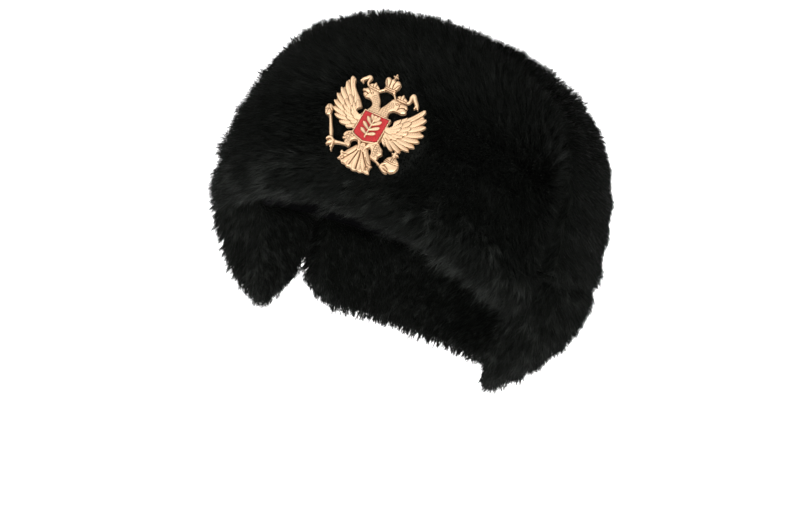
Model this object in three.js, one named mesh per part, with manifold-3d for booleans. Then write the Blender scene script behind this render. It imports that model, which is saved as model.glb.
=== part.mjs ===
// Trapper cap of black fur: a padded crown with a fur cover, a turned-up front flap that carries a
// cast eagle badge, two ear flaps and a neck flap, all in the form they have when worn down.
// Millimetres, +Z up, the front towards -Y and the wearer's left towards +X.
// The origin is the centre of the head opening, at the height where the cap grips the head.

import * as THREE from "three";
import { mergeVertices } from "three/addons/utils/BufferGeometryUtils.js";
import Module from "manifold-3d";

const wasm = await Module();
wasm.setup();

// Driving dimensions of the fur form that crown and flaps share, at the tips of the fur
const FUR = { halfWidth: 127.5, halfLength: 147, widestZ: 10, topZ: 142, lowestZ: -78, roundness: 2.38 };
const LOCK = { height: 5, droop: 4 };

// Head hollow, and the padded wall of the crown round it
const HEAD = { halfWidth: 84, halfLength: 103, topZ: 112, jawZ: -64, jawScale: 0.9, roundness: 2.2 };
const SHELL_WALL = 6;
const RIM = { frontZ: 24, sideZ: -4 };

// Clearance between two sewn pieces, and between the badge's pieces
const SEAM_GAP = 0.4;
const BADGE_GAP = 0.3;

// Front flap: it spans from one temple to the other and rises a little over the crown behind it
const FLAP = {
  endAzimuth: 60,
  lowFrontZ: 17,
  lowEndZ: -10,
  highFrontZ: 137,
  highEndZ: 104,
  formTopZ: 150,
  edgeThickness: 21,
  edgeRound: 8,
  rollHeight: 9,
};
const NAP = 6;

// Ends of a hanging flap are rounded over this azimuth, and its lowest edge is no thinner than this
const HANGING = { roundDegrees: 4.5, leastThickness: 5 };

// Lower edge of the crown's fur, where the ear and neck flaps take over
const HEM_Z = 15.3;

// Azimuth, in degrees, where the crown's full fur begins beside the ends of the front flap
const SEAM_AZIMUTH = 62.5;

// Rows of the ear flap: its front and rear edge, as azimuths in degrees, at each height. The upper
// rows lie round the crown's wall, and the others reach in to the head under its rim.
const EAR_FLAP_ROWS = [
  { z: HEM_Z - 0.6, front: 63, rear: 126.4, roundWall: true },
  { z: 5, front: 63, rear: 126.4, roundWall: true },
  { z: RIM.sideZ - 0.4, front: 64, rear: 126.4, roundWall: true },
  { z: RIM.sideZ - 0.8, front: 64, rear: 126.4 },
  { z: -18, front: 69, rear: 126.4 },
  { z: -32, front: 73.5, rear: 126 },
  { z: -45, front: 75.5, rear: 124.5 },
  { z: -56, front: 78, rear: 117 },
  { z: -64, front: 84, rear: 107 },
];

// Rows of the neck flap, which runs round the back of the head
const NECK_FLAP_ROWS = [
  { z: HEM_Z - 0.6, front: 127, rear: 233, roundWall: true },
  { z: 5, front: 127, rear: 233, roundWall: true },
  { z: RIM.sideZ - 0.4, front: 127, rear: 233, roundWall: true },
  { z: RIM.sideZ - 0.8, front: 127, rear: 233 },
  { z: -18, front: 127, rear: 233 },
  { z: -32, front: 127.5, rear: 232.5 },
  { z: -45, front: 129, rear: 231 },
  { z: -53, front: 134, rear: 226 },
  { z: -58, front: 142, rear: 218 },
];

// Badge: its centre on the front flap, how far it leans back with the flap, and its turn on it
const BADGE = { centreZ: 67, sink: 4.5, leanDegrees: 21, turnDegrees: -5 };
const POST = { radius: 1, length: 12, x: 11, clearance: 0.35 };
const SEAT = { radius: 37.5, depth: 30 };

// Heights of the badge's relief over its back
const RELIEF = {
  web: 1.5,
  tray: 2,
  ribbon: 2.2,
  feather: 2.3,
  featherStep: 0.3,
  body: 2.8,
  covert: 3,
  crown: 3.1,
  shieldRim: 3.2,
};
const SHIELD = {
  halfWidth: 8.6,
  topY: 4.7,
  lowY: -12.3,
  pointY: -14.3,
  corner: 1.2,
  rim: 0.6,
  thickness: 0.8,
};
const CHARGE_THICKNESS = 0.7;

const degrees = THREE.MathUtils.degToRad;
const lerp = THREE.MathUtils.lerp;

// Scatter value between 0 and 1 that two whole numbers always give alike
function scatter(i, j) {
  const wave = Math.sin(i * 12.9898 + j * 78.233) * 43758.5453;
  return wave - Math.floor(wave);
}

// Height of a rounded form, as a share of its full size, at a share of its reach
function rounded(share, roundness) {
  return Math.pow(Math.max(0, 1 - Math.pow(Math.abs(share), roundness)), 1 / roundness);
}

// Radius of an oval at an azimuth, which is 0 at the front and grows towards the wearer's left
function ovalRadius(azimuth, halfWidth, halfLength) {
  return 1 / Math.hypot(Math.sin(azimuth) / halfWidth, Math.cos(azimuth) / halfLength);
}

function onHat(azimuth, radius, z) {
  return new THREE.Vector3(radius * Math.sin(azimuth), -radius * Math.cos(azimuth), z);
}

// Radius of the fur at a height, on a form that is as tall as topZ
function furRadius(azimuth, z, topZ = FUR.topZ) {
  const reach = z > FUR.widestZ ? topZ - FUR.widestZ : FUR.widestZ - FUR.lowestZ;
  const share = rounded((z - FUR.widestZ) / reach, FUR.roundness);
  return ovalRadius(azimuth, FUR.halfWidth, FUR.halfLength) * share;
}

// Height of the fur over the crown at a radius
function furHeight(azimuth, radius) {
  const share = radius / ovalRadius(azimuth, FUR.halfWidth, FUR.halfLength);
  return FUR.widestZ + (FUR.topZ - FUR.widestZ) * rounded(share, FUR.roundness);
}

// Radius of a layer that lies a given distance outside the head hollow
function layerRadius(azimuth, z, outside) {
  const wide = ovalRadius(azimuth, HEAD.halfWidth + outside, HEAD.halfLength + outside);
  if (z < 0) return wide * lerp(1, HEAD.jawScale, z / HEAD.jawZ);
  return wide * rounded(z / (HEAD.topZ + outside), HEAD.roundness);
}

// Height of such a layer over the head at a radius
function layerHeight(azimuth, radius, outside) {
  const wide = ovalRadius(azimuth, HEAD.halfWidth + outside, HEAD.halfLength + outside);
  return (HEAD.topZ + outside) * rounded(radius / wide, HEAD.roundness);
}

// Share that falls from 1 at the front to 0 at the ends of the front flap
function frontShare(azimuth, power) {
  const turn = Math.min(Math.abs(azimuth) / degrees(FLAP.endAzimuth), 1);
  return Math.pow(Math.cos((turn * Math.PI) / 2), power);
}

function rimHeight(azimuth) {
  return lerp(RIM.sideZ, RIM.frontZ, frontShare(azimuth, 1.3));
}

function flapLowHeight(azimuth) {
  return lerp(FLAP.lowEndZ, FLAP.lowFrontZ, frontShare(azimuth, 1.3));
}

function flapHighHeight(azimuth) {
  return lerp(FLAP.highEndZ, FLAP.highFrontZ, frontShare(azimuth, 0.9));
}

// Radius at which the crown's fur steps down behind the upper edge of the front flap
function stepRadius(azimuth) {
  const limited = THREE.MathUtils.clamp(azimuth, -degrees(FLAP.endAzimuth), degrees(FLAP.endAzimuth));
  const edgeZ = flapHighHeight(limited);
  return furRadius(limited, edgeZ, FLAP.formTopZ) - FLAP.edgeThickness;
}

// Triangles of a soup of corners, turned so that they face out
function closedGeometry(corners) {
  let volume = 0;
  for (let i = 0; i < corners.length; i += 3) {
    volume += corners[i].dot(corners[i + 1].clone().cross(corners[i + 2]));
  }
  const ordered = volume < 0 ? corners.slice().reverse() : corners;
  return new THREE.BufferGeometry().setFromPoints(ordered);
}

// Side faces between the rings of a loft. A cell with a lock of fur becomes four faces that meet
// at the tip of the lock, and tipOf gives nothing where the surface is smooth.
function loftSides(rings, tipOf) {
  const corners = [];
  for (let i = 0; i + 1 < rings.length; i += 1) {
    const count = rings[i].length;
    for (let j = 0; j < count; j += 1) {
      const next = (j + 1) % count;
      const cell = [rings[i][j], rings[i][next], rings[i + 1][next], rings[i + 1][j]];
      const tip = tipOf(i, j, cell);
      if (tip) {
        cell.forEach((corner, k) => corners.push(corner, cell[(k + 1) % 4], tip));
      } else {
        corners.push(cell[0], cell[1], cell[2], cell[0], cell[2], cell[3]);
      }
    }
  }
  return corners;
}

// Fan that closes a ring at a pole. The first ring of a loft and the last one face opposite ways.
function fanCap(ring, pole, isFirst) {
  return ring.flatMap((corner, j) => {
    const next = ring[(j + 1) % ring.length];
    return isFirst ? [pole, next, corner] : [pole, corner, next];
  });
}

// Strip that closes a long thin ring, whose point j lies across from the one that far from its end
function stripCap(ring, isFirst) {
  const corners = [];
  const last = ring.length - 1;
  const add = (a, b, c) => (isFirst ? corners.push(a, c, b) : corners.push(a, b, c));
  for (let j = 0; j < last - 1 - j; j += 1) {
    const across = last - j;
    add(ring[j], ring[j + 1], ring[across]);
    if (j + 1 < across - 1) add(ring[j + 1], ring[across - 1], ring[across]);
  }
  return corners;
}

// Tip of the lock of fur on a cell: out from the surface, and combed down and back
function lockTip(i, j, cell) {
  const centre = new THREE.Vector3();
  cell.forEach((corner) => centre.addScaledVector(corner, 0.25));
  const normal = cell[2].clone().sub(cell[0]).cross(cell[3].clone().sub(cell[1])).normalize();
  if (normal.dot(centre.clone().setZ(centre.z - FUR.widestZ)) < 0) normal.negate();
  const comb = new THREE.Vector3(0, 0.4, -1).projectOnPlane(normal);
  const vigour = 0.75 + 0.5 * scatter(i, j);
  return centre.addScaledVector(normal, LOCK.height * vigour).addScaledVector(comb, LOCK.droop * vigour);
}

// Whole numbers from 0, as shares of their last one
function shares(count) {
  return Array.from({ length: count + 1 }, (_, k) => k / count);
}

// Azimuth between half a turn to the right and half a turn to the left
function wrapped(azimuth) {
  return azimuth > Math.PI ? azimuth - 2 * Math.PI : azimuth;
}

// Columns and rows that the crown's wall and the inside of its fur share, so that they run alongside.
// The first column past each end of the front flap is drawn in to the seam there.
const CROWN_COLUMNS = 48;
const CROWN_AZIMUTHS = Array.from({ length: CROWN_COLUMNS }, (_, j) => {
  const even = wrapped((2 * Math.PI * j) / CROWN_COLUMNS);
  const pastEnd = Math.abs(even) - degrees(FLAP.endAzimuth);
  const isSeam = pastEnd > 0.01 && pastEnd < (2 * Math.PI) / CROWN_COLUMNS + 0.01;
  return isSeam ? Math.sign(even) * degrees(SEAM_AZIMUTH) : even;
});
const CROWN_RISES = shares(8).slice(0, -1).map((share) => Math.sin((share * Math.PI) / 2));

// Ring of a layer over the head, at a share of the way up from the rim, and no lower than a hem
function crownRing(rise, outside, hem = rimHeight) {
  return CROWN_AZIMUTHS.map((azimuth) => {
    const z = Math.max(lerp(rimHeight(azimuth), HEAD.topZ + outside, rise), hem(azimuth));
    return onHat(azimuth, layerRadius(azimuth, z, outside), z);
  });
}

// Padded wall of the crown: rings run down its outside and back up its inside
function crownShell() {
  const rings = [
    ...CROWN_RISES.map((rise) => crownRing(rise, SHELL_WALL)).reverse(),
    ...CROWN_RISES.map((rise) => crownRing(rise, 0)),
  ];
  return closedGeometry([
    ...loftSides(rings, () => null),
    ...fanCap(rings[0], new THREE.Vector3(0, 0, HEAD.topZ + SHELL_WALL), true),
    ...fanCap(rings.at(-1), new THREE.Vector3(0, 0, HEAD.topZ), false),
  ]);
}

// Fur over the crown. Behind the front flap it is a short nap, and elsewhere it stands in locks.
function crownFur() {
  const capRows = 4;
  const sideRows = 5;
  const inner = SHELL_WALL + SEAM_GAP;
  const behindFlap = (azimuth) => Math.abs(azimuth) < degrees(SEAM_AZIMUTH) - 0.01;
  const hem = (azimuth) => Math.max(rimHeight(azimuth), HEM_Z);
  const capRing = (share) =>
    CROWN_AZIMUTHS.map((azimuth) => {
      const radius = stepRadius(azimuth) * share;
      return onHat(azimuth, radius, furHeight(azimuth, radius) - LOCK.height);
    });
  const sideRing = (row) =>
    CROWN_AZIMUTHS.map((azimuth) => {
      const step = stepRadius(azimuth);
      if (behindFlap(azimuth)) {
        const share = (row - 1) / (sideRows - 1);
        const z = lerp(layerHeight(azimuth, step, SHELL_WALL + NAP), hem(azimuth), share);
        return onHat(azimuth, layerRadius(azimuth, z, SHELL_WALL + NAP), z);
      }
      const share = Math.pow(row / sideRows, 1.15);
      const z = lerp(furHeight(azimuth, step) - LOCK.height, hem(azimuth), share);
      return onHat(azimuth, furRadius(azimuth, z) - LOCK.height, z);
    });
  const rings = [
    ...shares(capRows).slice(1).map(capRing),
    ...Array.from({ length: sideRows }, (_, k) => sideRing(k + 1)),
    crownRing(0, inner, hem),
    ...CROWN_RISES.slice(1).map((rise) => crownRing(rise, inner)),
  ];
  const outerRows = capRows + sideRows - 1;
  const tipOf = (i, j, cell) => {
    const beside = behindFlap(CROWN_AZIMUTHS[j]) || behindFlap(CROWN_AZIMUTHS[(j + 1) % CROWN_COLUMNS]);
    const hasLock = i < capRows - 1 || (i < outerRows && !beside);
    return hasLock ? lockTip(i, j, cell) : null;
  };
  return closedGeometry([
    ...loftSides(rings, tipOf),
    ...fanCap(rings[0], new THREE.Vector3(0, 0, FUR.topZ - LOCK.height), true),
    ...fanCap(rings.at(-1), new THREE.Vector3(0, 0, HEAD.topZ + inner), false),
  ]);
}

// Upright section of the front flap: up its outside, over its edge and down its inside
function flapSection(azimuth) {
  const lowZ = flapLowHeight(azimuth);
  const highZ = flapHighHeight(azimuth);
  const outer = (z) => furRadius(azimuth, z, FLAP.formTopZ) - LOCK.height;
  const step = stepRadius(azimuth) + SEAM_GAP * 2;
  const inside = SHELL_WALL + NAP + SEAM_GAP * 2;
  const inner = (z) => layerRadius(azimuth, z, inside);
  const faceLowZ = lowZ + FLAP.rollHeight;
  const faceHighZ = highZ - FLAP.edgeRound;
  const innerHighZ = layerHeight(azimuth, step, inside);
  const innerLowZ = rimHeight(azimuth);
  const across = (share) => lerp(inner(innerLowZ), outer(lowZ), share);
  const over = (share) => lerp(outer(faceHighZ), step, share);
  const profile = [
    [across(0.5), lowZ],
    [across(0.86), lerp(lowZ, faceLowZ, 0.3)],
    ...shares(6).map((share) => {
      const z = lerp(faceLowZ, faceHighZ, share);
      return [outer(z), z];
    }),
    [over(0.35), highZ],
    [over(0.75), highZ],
    [step, faceHighZ],
    ...shares(5).map((share) => {
      const z = lerp(innerHighZ, innerLowZ, share);
      return [inner(z), z];
    }),
    [across(0.05), lerp(lowZ, innerLowZ, 0.4)],
    [across(0.2), lerp(lowZ, innerLowZ, 0.1)],
  ];
  return profile.map(([radius, z]) => onHat(azimuth, radius, z));
}

// Turned-up front flap, with locks on its outside and its edges
function frontFlap() {
  const steps = 24;
  const end = degrees(FLAP.endAzimuth);
  const faceCells = 9;
  const sections = shares(steps).map((share) => flapSection(lerp(-end, end, share)));
  const rounding = [0.55, 0.85];
  rounding.forEach((scale, k) => {
    shrinkTowardsMiddle(sections[k], scale);
    shrinkTowardsMiddle(sections[steps - k], scale);
  });
  const tipOf = (i, j, cell) => {
    const inFromEnd = i >= 1 && i < steps - 1;
    return j < faceCells && inFromEnd ? lockTip(i, j, cell) : null;
  };
  return closedGeometry([
    ...loftSides(sections, tipOf),
    ...stripCap(sections[0], true),
    ...stripCap(sections.at(-1), false),
  ]);
}

// Pulls the points of a long thin ring towards the line that runs midway between its sides
function shrinkTowardsMiddle(ring, scale) {
  const last = ring.length - 1;
  for (let j = 0; j < last - j; j += 1) {
    const middle = ring[j].clone().lerp(ring[last - j], 0.5);
    ring[j].sub(middle).multiplyScalar(scale).add(middle);
    ring[last - j].sub(middle).multiplyScalar(scale).add(middle);
  }
}

// Level ring of a flap that hangs round the head, from its front edge to its rear edge
function hangingRing(row, spans, side) {
  const roundEnd = degrees(HANGING.roundDegrees);
  const front = degrees(row.front);
  const rear = degrees(row.rear);
  const outside = row.roundWall ? SHELL_WALL + SEAM_GAP * 2 : 0;
  const inner = (azimuth) => layerRadius(azimuth, row.z, outside);
  const outer = (azimuth) => {
    return Math.max(furRadius(azimuth, row.z) - LOCK.height, inner(azimuth) + HANGING.leastThickness);
  };
  const azimuths = shares(spans).map((share) => lerp(front + roundEnd, rear - roundEnd, share));
  const nose = (azimuth) => onHat(azimuth * side, lerp(inner(azimuth), outer(azimuth), 0.5), row.z);
  return [
    nose(front),
    ...azimuths.map((azimuth) => onHat(azimuth * side, outer(azimuth), row.z)),
    nose(rear),
    ...azimuths.reverse().map((azimuth) => onHat(azimuth * side, inner(azimuth), row.z)),
  ];
}

// Flap that hangs round the head, with locks on its outside
function hangingFlap(rows, spans, side) {
  const rings = rows.map((row) => hangingRing(row, spans, side));
  const tipOf = (i, j, cell) => {
    const onFace = j >= 1 && j <= spans;
    const tall = rows[i].z - rows[i + 1].z > 2;
    return onFace && tall ? lockTip(i, j, cell) : null;
  };
  return closedGeometry([
    ...loftSides(rings, tipOf),
    ...hangingCap(rings[0], true),
    ...hangingCap(rings.at(-1), false),
  ]);
}

// Strip that closes a hanging flap's ring, from its front nose to its rear nose
function hangingCap(ring, isFirst) {
  const half = ring.length / 2;
  const [frontNose, rearNose] = [ring[0], ring[half]];
  const outer = ring.slice(1, half);
  const inner = ring.slice(half + 1).reverse();
  const corners = [];
  const add = (a, b, c) => (isFirst ? corners.push(a, c, b) : corners.push(a, b, c));
  add(frontNose, outer[0], inner[0]);
  outer.slice(1).forEach((corner, k) => {
    add(outer[k], corner, inner[k]);
    add(corner, inner[k + 1], inner[k]);
  });
  add(outer.at(-1), rearNose, inner.at(-1));
  return corners;
}

// Solid of a closed geometry, for cutting and joining
function solidOf(geometry) {
  const bare = geometry.clone();
  bare.deleteAttribute("normal");
  bare.deleteAttribute("uv");
  const merged = mergeVertices(bare, 1e-4);
  return new wasm.Manifold(
    new wasm.Mesh({
      numProp: 3,
      vertProperties: merged.attributes.position.array,
      triVerts: new Uint32Array(merged.index.array),
    }),
  );
}

function geometryOf(solid) {
  const mesh = solid.getMesh();
  const geometry = new THREE.BufferGeometry();
  geometry.setAttribute("position", new THREE.BufferAttribute(mesh.vertProperties, 3));
  geometry.setIndex(new THREE.BufferAttribute(mesh.triVerts, 1));
  return geometry;
}

function joined(solids) {
  return solids.reduce((whole, solid) => whole.add(solid));
}

// Plate of the badge: a flat shape raised from one height to another
function plate(shape, fromZ, toZ) {
  const geometry = new THREE.ExtrudeGeometry(shape, {
    depth: toZ - fromZ,
    bevelEnabled: false,
    curveSegments: 5,
  });
  return solidOf(geometry.translate(0, 0, fromZ));
}

function polygon(points) {
  return new THREE.Shape(points.map(([x, y]) => new THREE.Vector2(x, y)));
}

// Smooth closed outline through a few points
function smoothOutline(points, steps) {
  const path = points.map(([x, y]) => new THREE.Vector3(x, y, 0));
  const curve = new THREE.CatmullRomCurve3(path, true, "catmullrom", 0.5);
  return polygon(curve.getPoints(steps).slice(0, -1).map((point) => [point.x, point.y]));
}

function mirrored(points) {
  return points.map(([x, y]) => [-x, y]);
}

// Band of even width along a smooth line
function band(points, width, steps) {
  const path = points.map(([x, y]) => new THREE.Vector2(x, y));
  const curve = new THREE.SplineCurve(path);
  const edge = (sign) =>
    shares(steps).map((share) => {
      const point = curve.getPoint(share);
      const tangent = curve.getTangent(share);
      return [point.x - (sign * tangent.y * width) / 2, point.y + (sign * tangent.x * width) / 2];
    });
  return polygon([...edge(-1), ...edge(1).reverse()]);
}

// Feather with a narrow root and a round tip, which points along an angle from the root
function feather(rootX, rootY, angleDegrees, length, width) {
  const angle = degrees(angleDegrees);
  const outline = [
    [0, -0.22],
    [0.45, -0.4],
    [0.8, -0.5],
    [0.95, -0.32],
    [1, 0],
    [0.95, 0.32],
    [0.8, 0.5],
    [0.45, 0.4],
    [0, 0.22],
  ];
  const at = ([along, across]) => {
    const x = along * length;
    const y = across * width;
    return [
      rootX + x * Math.cos(angle) - y * Math.sin(angle),
      rootY + x * Math.sin(angle) + y * Math.cos(angle),
    ];
  };
  return polygon(outline.map(at));
}

function disc(x, y, radius, sides) {
  const points = Array.from({ length: sides }, (_, k) => {
    const angle = (2 * Math.PI * k) / sides;
    return [x + radius * Math.cos(angle), y + radius * Math.sin(angle)];
  });
  return polygon(points);
}

// Wing at the viewer's left or right: a web, a fan of flight feathers and a row of coverts on it
const WING = {
  rootX: 8.3,
  rootY: -2,
  firstAngle: 56,
  angleStep: 11.4,
  width: 5.4,
  lengths: [28.5, 28, 26.8, 25.2, 23.6, 22.4, 21.8, 18.2, 14.4, 11],
  covertShare: 0.56,
  webShare: 0.8,
};

function wing(side) {
  const heading = (k) => WING.firstAngle - WING.angleStep * k;
  const facing = (angle) => (side > 0 ? angle : 180 - angle);
  const rootX = side * WING.rootX;
  const web = [[rootX, WING.rootY - 5]];
  WING.lengths.forEach((length, k) => {
    const angle = degrees(facing(heading(k)));
    const reach = length * WING.webShare;
    web.push([rootX + reach * Math.cos(angle), WING.rootY + reach * Math.sin(angle)]);
  });
  web.push([rootX, WING.rootY - 8], [side * 5, -10], [side * 5, 6]);
  const feathers = WING.lengths.map((length, k) => {
    const height = RELIEF.feather + (k % 2) * RELIEF.featherStep;
    return plate(feather(rootX, WING.rootY, facing(heading(k)), length, WING.width), 0, height);
  });
  const coverts = WING.lengths.slice(0, -1).map((length, k) => {
    const angle = facing(heading(k + 0.5));
    const reach = length * WING.covertShare;
    const height = RELIEF.covert - (k % 2) * RELIEF.featherStep;
    return plate(feather(rootX, WING.rootY, angle, reach, WING.width * 0.72), 0, height);
  });
  return joined([plate(polygon(web), 0, RELIEF.web), ...feathers, ...coverts]);
}

// Neck and head at the viewer's left, with the beak outwards
const HEAD_OUTLINE = [
  [0, 4],
  [0, 9.3],
  [-1.4, 12.5],
  [-2.9, 16.4],
  [-5.6, 18.9],
  [-9.4, 19.4],
  [-13.6, 18.2],
  [-16, 17],
  [-15.2, 14.6],
  [-13.4, 13.2],
  [-10, 12.6],
  [-7, 11],
  [-6.5, 8.2],
  [-8.2, 4.5],
];
const SMALL_CROWN = [
  [-12, 18.6],
  [-7, 18.8],
  [-6.6, 22],
  [-8.2, 22.6],
  [-9.6, 24.6],
  [-11, 22.8],
  [-12.8, 22.2],
];
const LARGE_CROWN = [
  [-3.6, 21.6],
  [3.6, 21.6],
  [4.3, 25],
  [5.9, 28.6],
  [5.2, 30.8],
  [2.8, 31.2],
  [0, 30.2],
  [-2.8, 31.2],
  [-5.2, 30.8],
  [-5.9, 28.6],
  [-4.3, 25],
];
const RIBBON = [
  [-13, 19.6],
  [-13.8, 24.4],
  [-15.4, 26.8],
  [-17.6, 24.6],
  [-20.4, 21],
];
const THIGH = [
  [-7.5, -9],
  [-12, -11.2],
  [-15.4, -14.6],
  [-15, -18.6],
  [-11.8, -20.6],
  [-9, -21],
  [-8.6, -17.4],
  [-8.6, -14.4],
];

function headsAndCrowns() {
  const sides = [(points) => points, mirrored];
  const pairs = sides.flatMap((turn) => [
    plate(smoothOutline(turn(HEAD_OUTLINE), 26), 0, RELIEF.body),
    plate(polygon(turn(SMALL_CROWN)), 0, RELIEF.crown),
    plate(band(turn(RIBBON), 2.4, 9), 0, RELIEF.ribbon),
  ]);
  const arch = shares(8).map((share) => {
    const angle = Math.PI * share;
    return [4.6 * Math.cos(angle), 18.4 + 4.4 * Math.sin(angle)];
  });
  return joined([
    ...pairs,
    plate(band(arch, 2.2, 12), 0, RELIEF.ribbon),
    plate(polygon(LARGE_CROWN), 0, RELIEF.crown),
    plate(disc(0, 31.4, 1.3, 10), 0, RELIEF.crown),
    plate(rectangle(0, 33.2, 1.1, 4.4), 0, RELIEF.ribbon),
    plate(rectangle(0, 33.9, 3, 1), 0, RELIEF.ribbon),
  ]);
}

function rectangle(x, y, width, height) {
  const halfWidth = width / 2;
  const halfHeight = height / 2;
  return polygon([
    [x - halfWidth, y - halfHeight],
    [x + halfWidth, y - halfHeight],
    [x + halfWidth, y + halfHeight],
    [x - halfWidth, y + halfHeight],
  ]);
}

// Legs, the sceptre at the viewer's left, the orb at the right, and the tail between them
const TAIL = {
  rootX: -0.3,
  rootY: -13.5,
  firstAngle: -127,
  angleStep: 12.2,
  feathers: 7,
  length: 19.2,
  width: 5,
};
const ORB = { x: 21.6, y: -21.7, radius: 5.2 };

function legsAndTail() {
  const feathers = Array.from({ length: TAIL.feathers }, (_, k) => {
    const angle = TAIL.firstAngle + TAIL.angleStep * k;
    const height = RELIEF.feather + (k % 2) * RELIEF.featherStep;
    return plate(feather(TAIL.rootX, TAIL.rootY, angle, TAIL.length, TAIL.width), 0, height);
  });
  const sceptreHead = [
    [-29, -8.6],
    [-32.6, -7.8],
    [-34, -4.4],
    [-32.4, -1],
    [-29, -1.6],
    [-28, -5],
  ];
  const foot = [
    [-18.4, -21.4],
    [-22.6, -20.2],
    [-24, -22.6],
    [-22.4, -25.8],
    [-20.4, -26.4],
    [-18.8, -24.4],
  ];
  return joined([
    ...feathers,
    plate(smoothOutline(THIGH, 16), 0, RELIEF.body),
    plate(smoothOutline(mirrored(THIGH), 16), 0, RELIEF.body),
    plate(band([[-10.5, -19.6], [-16, -20.8], [-21, -22.6]], 2.4, 4), 0, RELIEF.ribbon),
    plate(band([[10.5, -19.6], [14, -22.4], [18, -24.4]], 2.4, 4), 0, RELIEF.ribbon),
    plate(smoothOutline(sceptreHead, 14), 0, RELIEF.body),
    plate(smoothOutline(foot, 12), 0, RELIEF.body),
    plate(band([[-29.6, -7], [-19, -28.4]], 1.7, 1), 0, RELIEF.ribbon),
    plate(disc(ORB.x, ORB.y, ORB.radius, 18), 0, RELIEF.body),
    plate(rectangle(ORB.x, ORB.y, ORB.radius * 1.94, 1.2), 0, RELIEF.crown),
    plate(rectangle(ORB.x, ORB.y + 7, 2.4, 4.8), 0, RELIEF.ribbon),
    plate(rectangle(ORB.x, ORB.y + 7.4, 4, 1.2), 0, RELIEF.ribbon),
  ]);
}

// Outline of the shield, drawn in by an inset from the edge of its gold rim
function shieldOutline(inset) {
  const halfWidth = SHIELD.halfWidth - inset;
  const topY = SHIELD.topY - inset;
  const lowY = SHIELD.lowY + inset;
  return polygon([
    [-halfWidth, topY],
    [-halfWidth, lowY + SHIELD.corner],
    [-halfWidth + SHIELD.corner, lowY],
    [0, SHIELD.pointY + inset],
    [halfWidth - SHIELD.corner, lowY],
    [halfWidth, lowY + SHIELD.corner],
    [halfWidth, topY],
  ]);
}

function badgeEagle() {
  const chest = plate(rectangle(0, -4, 15, 18), 0, RELIEF.tray);
  const posts = [-1, 1].map((side) => plate(disc(side * POST.x, 0, POST.radius, 12), -POST.length, 0.5));
  const tray = plate(shieldOutline(0), 0, RELIEF.shieldRim);
  const pocket = plate(shieldOutline(SHIELD.rim), RELIEF.tray, RELIEF.shieldRim + 1);
  const cast = joined([wing(-1), wing(1), headsAndCrowns(), legsAndTail(), chest, tray, ...posts]);
  return cast.subtract(pocket);
}

function badgeShield() {
  const low = RELIEF.tray + BADGE_GAP;
  return plate(shieldOutline(SHIELD.rim + BADGE_GAP), low, low + SHIELD.thickness);
}

// Plain ornament on the shield: a stem with pairs of leaves
function badgeCharge() {
  const low = RELIEF.tray + BADGE_GAP * 2 + SHIELD.thickness;
  const high = low + CHARGE_THICKNESS;
  const leafPairs = [
    { y: -9.4, angle: 28, length: 5.6 },
    { y: -6.4, angle: 34, length: 6.6 },
    { y: -3.2, angle: 42, length: 6.4 },
    { y: -0.4, angle: 52, length: 4.6 },
  ];
  const leaves = leafPairs.flatMap(({ y, angle, length }) => [
    plate(feather(0, y, angle, length, 2.2), low, high),
    plate(feather(0, y, 180 - angle, length, 2.2), low, high),
  ]);
  const stem = plate(rectangle(0, -4.4, 1.1, 14), low, high);
  const bud = plate(disc(0, 2.2, 1.2, 10), low, high);
  return joined([stem, bud, ...leaves]);
}

// Frame of the badge on the front flap
function badgeFrame() {
  const frame = new THREE.Group();
  const radius = furRadius(0, BADGE.centreZ, FLAP.formTopZ) - BADGE.sink;
  frame.position.set(0, -radius, BADGE.centreZ);
  frame.rotation.set(degrees(90 - BADGE.leanDegrees), 0, 0);
  frame.rotateZ(degrees(BADGE.turnDegrees));
  frame.updateMatrixWorld(true);
  return frame;
}

// Front flap with the fur pressed flat behind the badge and a hole for each post
function flapWithSeat(frame) {
  const seat = plate(disc(0, 0, SEAT.radius, 28), -BADGE_GAP, SEAT.depth);
  const holes = [-1, 1].map((side) => {
    const outline = disc(side * POST.x, 0, POST.radius + POST.clearance, 12);
    return plate(outline, -POST.length - POST.clearance, 0);
  });
  const cut = joined([seat, ...holes]).transform(frame.matrixWorld.toArray());
  return geometryOf(solidOf(frontFlap()).subtract(cut));
}

const FUR_LOOK = { color: 0x0b0c0d, roughness: 0.6, metalness: 0 };
const CLOTH_LOOK = { color: 0x111214, roughness: 0.85, metalness: 0 };
const GOLD_LOOK = { color: 0xe9c48c, roughness: 0.45, metalness: 0.8 };
const ENAMEL_LOOK = { color: 0xc8283c, roughness: 0.3, metalness: 0 };

function named(name, geometry, look) {
  const mesh = new THREE.Mesh(geometry, new THREE.MeshStandardMaterial(look));
  mesh.name = name;
  return mesh;
}

const earSpans = 8;
const neckSpans = 16;
const frame = badgeFrame();
const hat = new THREE.Group();

hat.add(
  named("crown_shell", crownShell(), CLOTH_LOOK),
  named("crown_fur", crownFur(), FUR_LOOK),
  named("front_flap", flapWithSeat(frame), FUR_LOOK),
  named("ear_flap_left", hangingFlap(EAR_FLAP_ROWS, earSpans, 1), FUR_LOOK),
  named("ear_flap_right", hangingFlap(EAR_FLAP_ROWS, earSpans, -1), FUR_LOOK),
  named("neck_flap", hangingFlap(NECK_FLAP_ROWS, neckSpans, 1), FUR_LOOK),
);
frame.add(
  named("badge_eagle", geometryOf(badgeEagle()), GOLD_LOOK),
  named("badge_shield", geometryOf(badgeShield()), ENAMEL_LOOK),
  named("badge_charge", geometryOf(badgeCharge()), GOLD_LOOK),
);
hat.add(frame);

export default hat;
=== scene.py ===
"""Black fur trapper hat with a gilt eagle badge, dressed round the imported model.

Metres, +Z up, the front towards -Y and the left ear flap towards +X. The origin is the centre of
the head opening. The fur is strands that Geometry Nodes grow out of a smoothed copy of each fur
solid. The badge is a casting, whose height over its flat back is drawn form by form.
"""
import math

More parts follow.
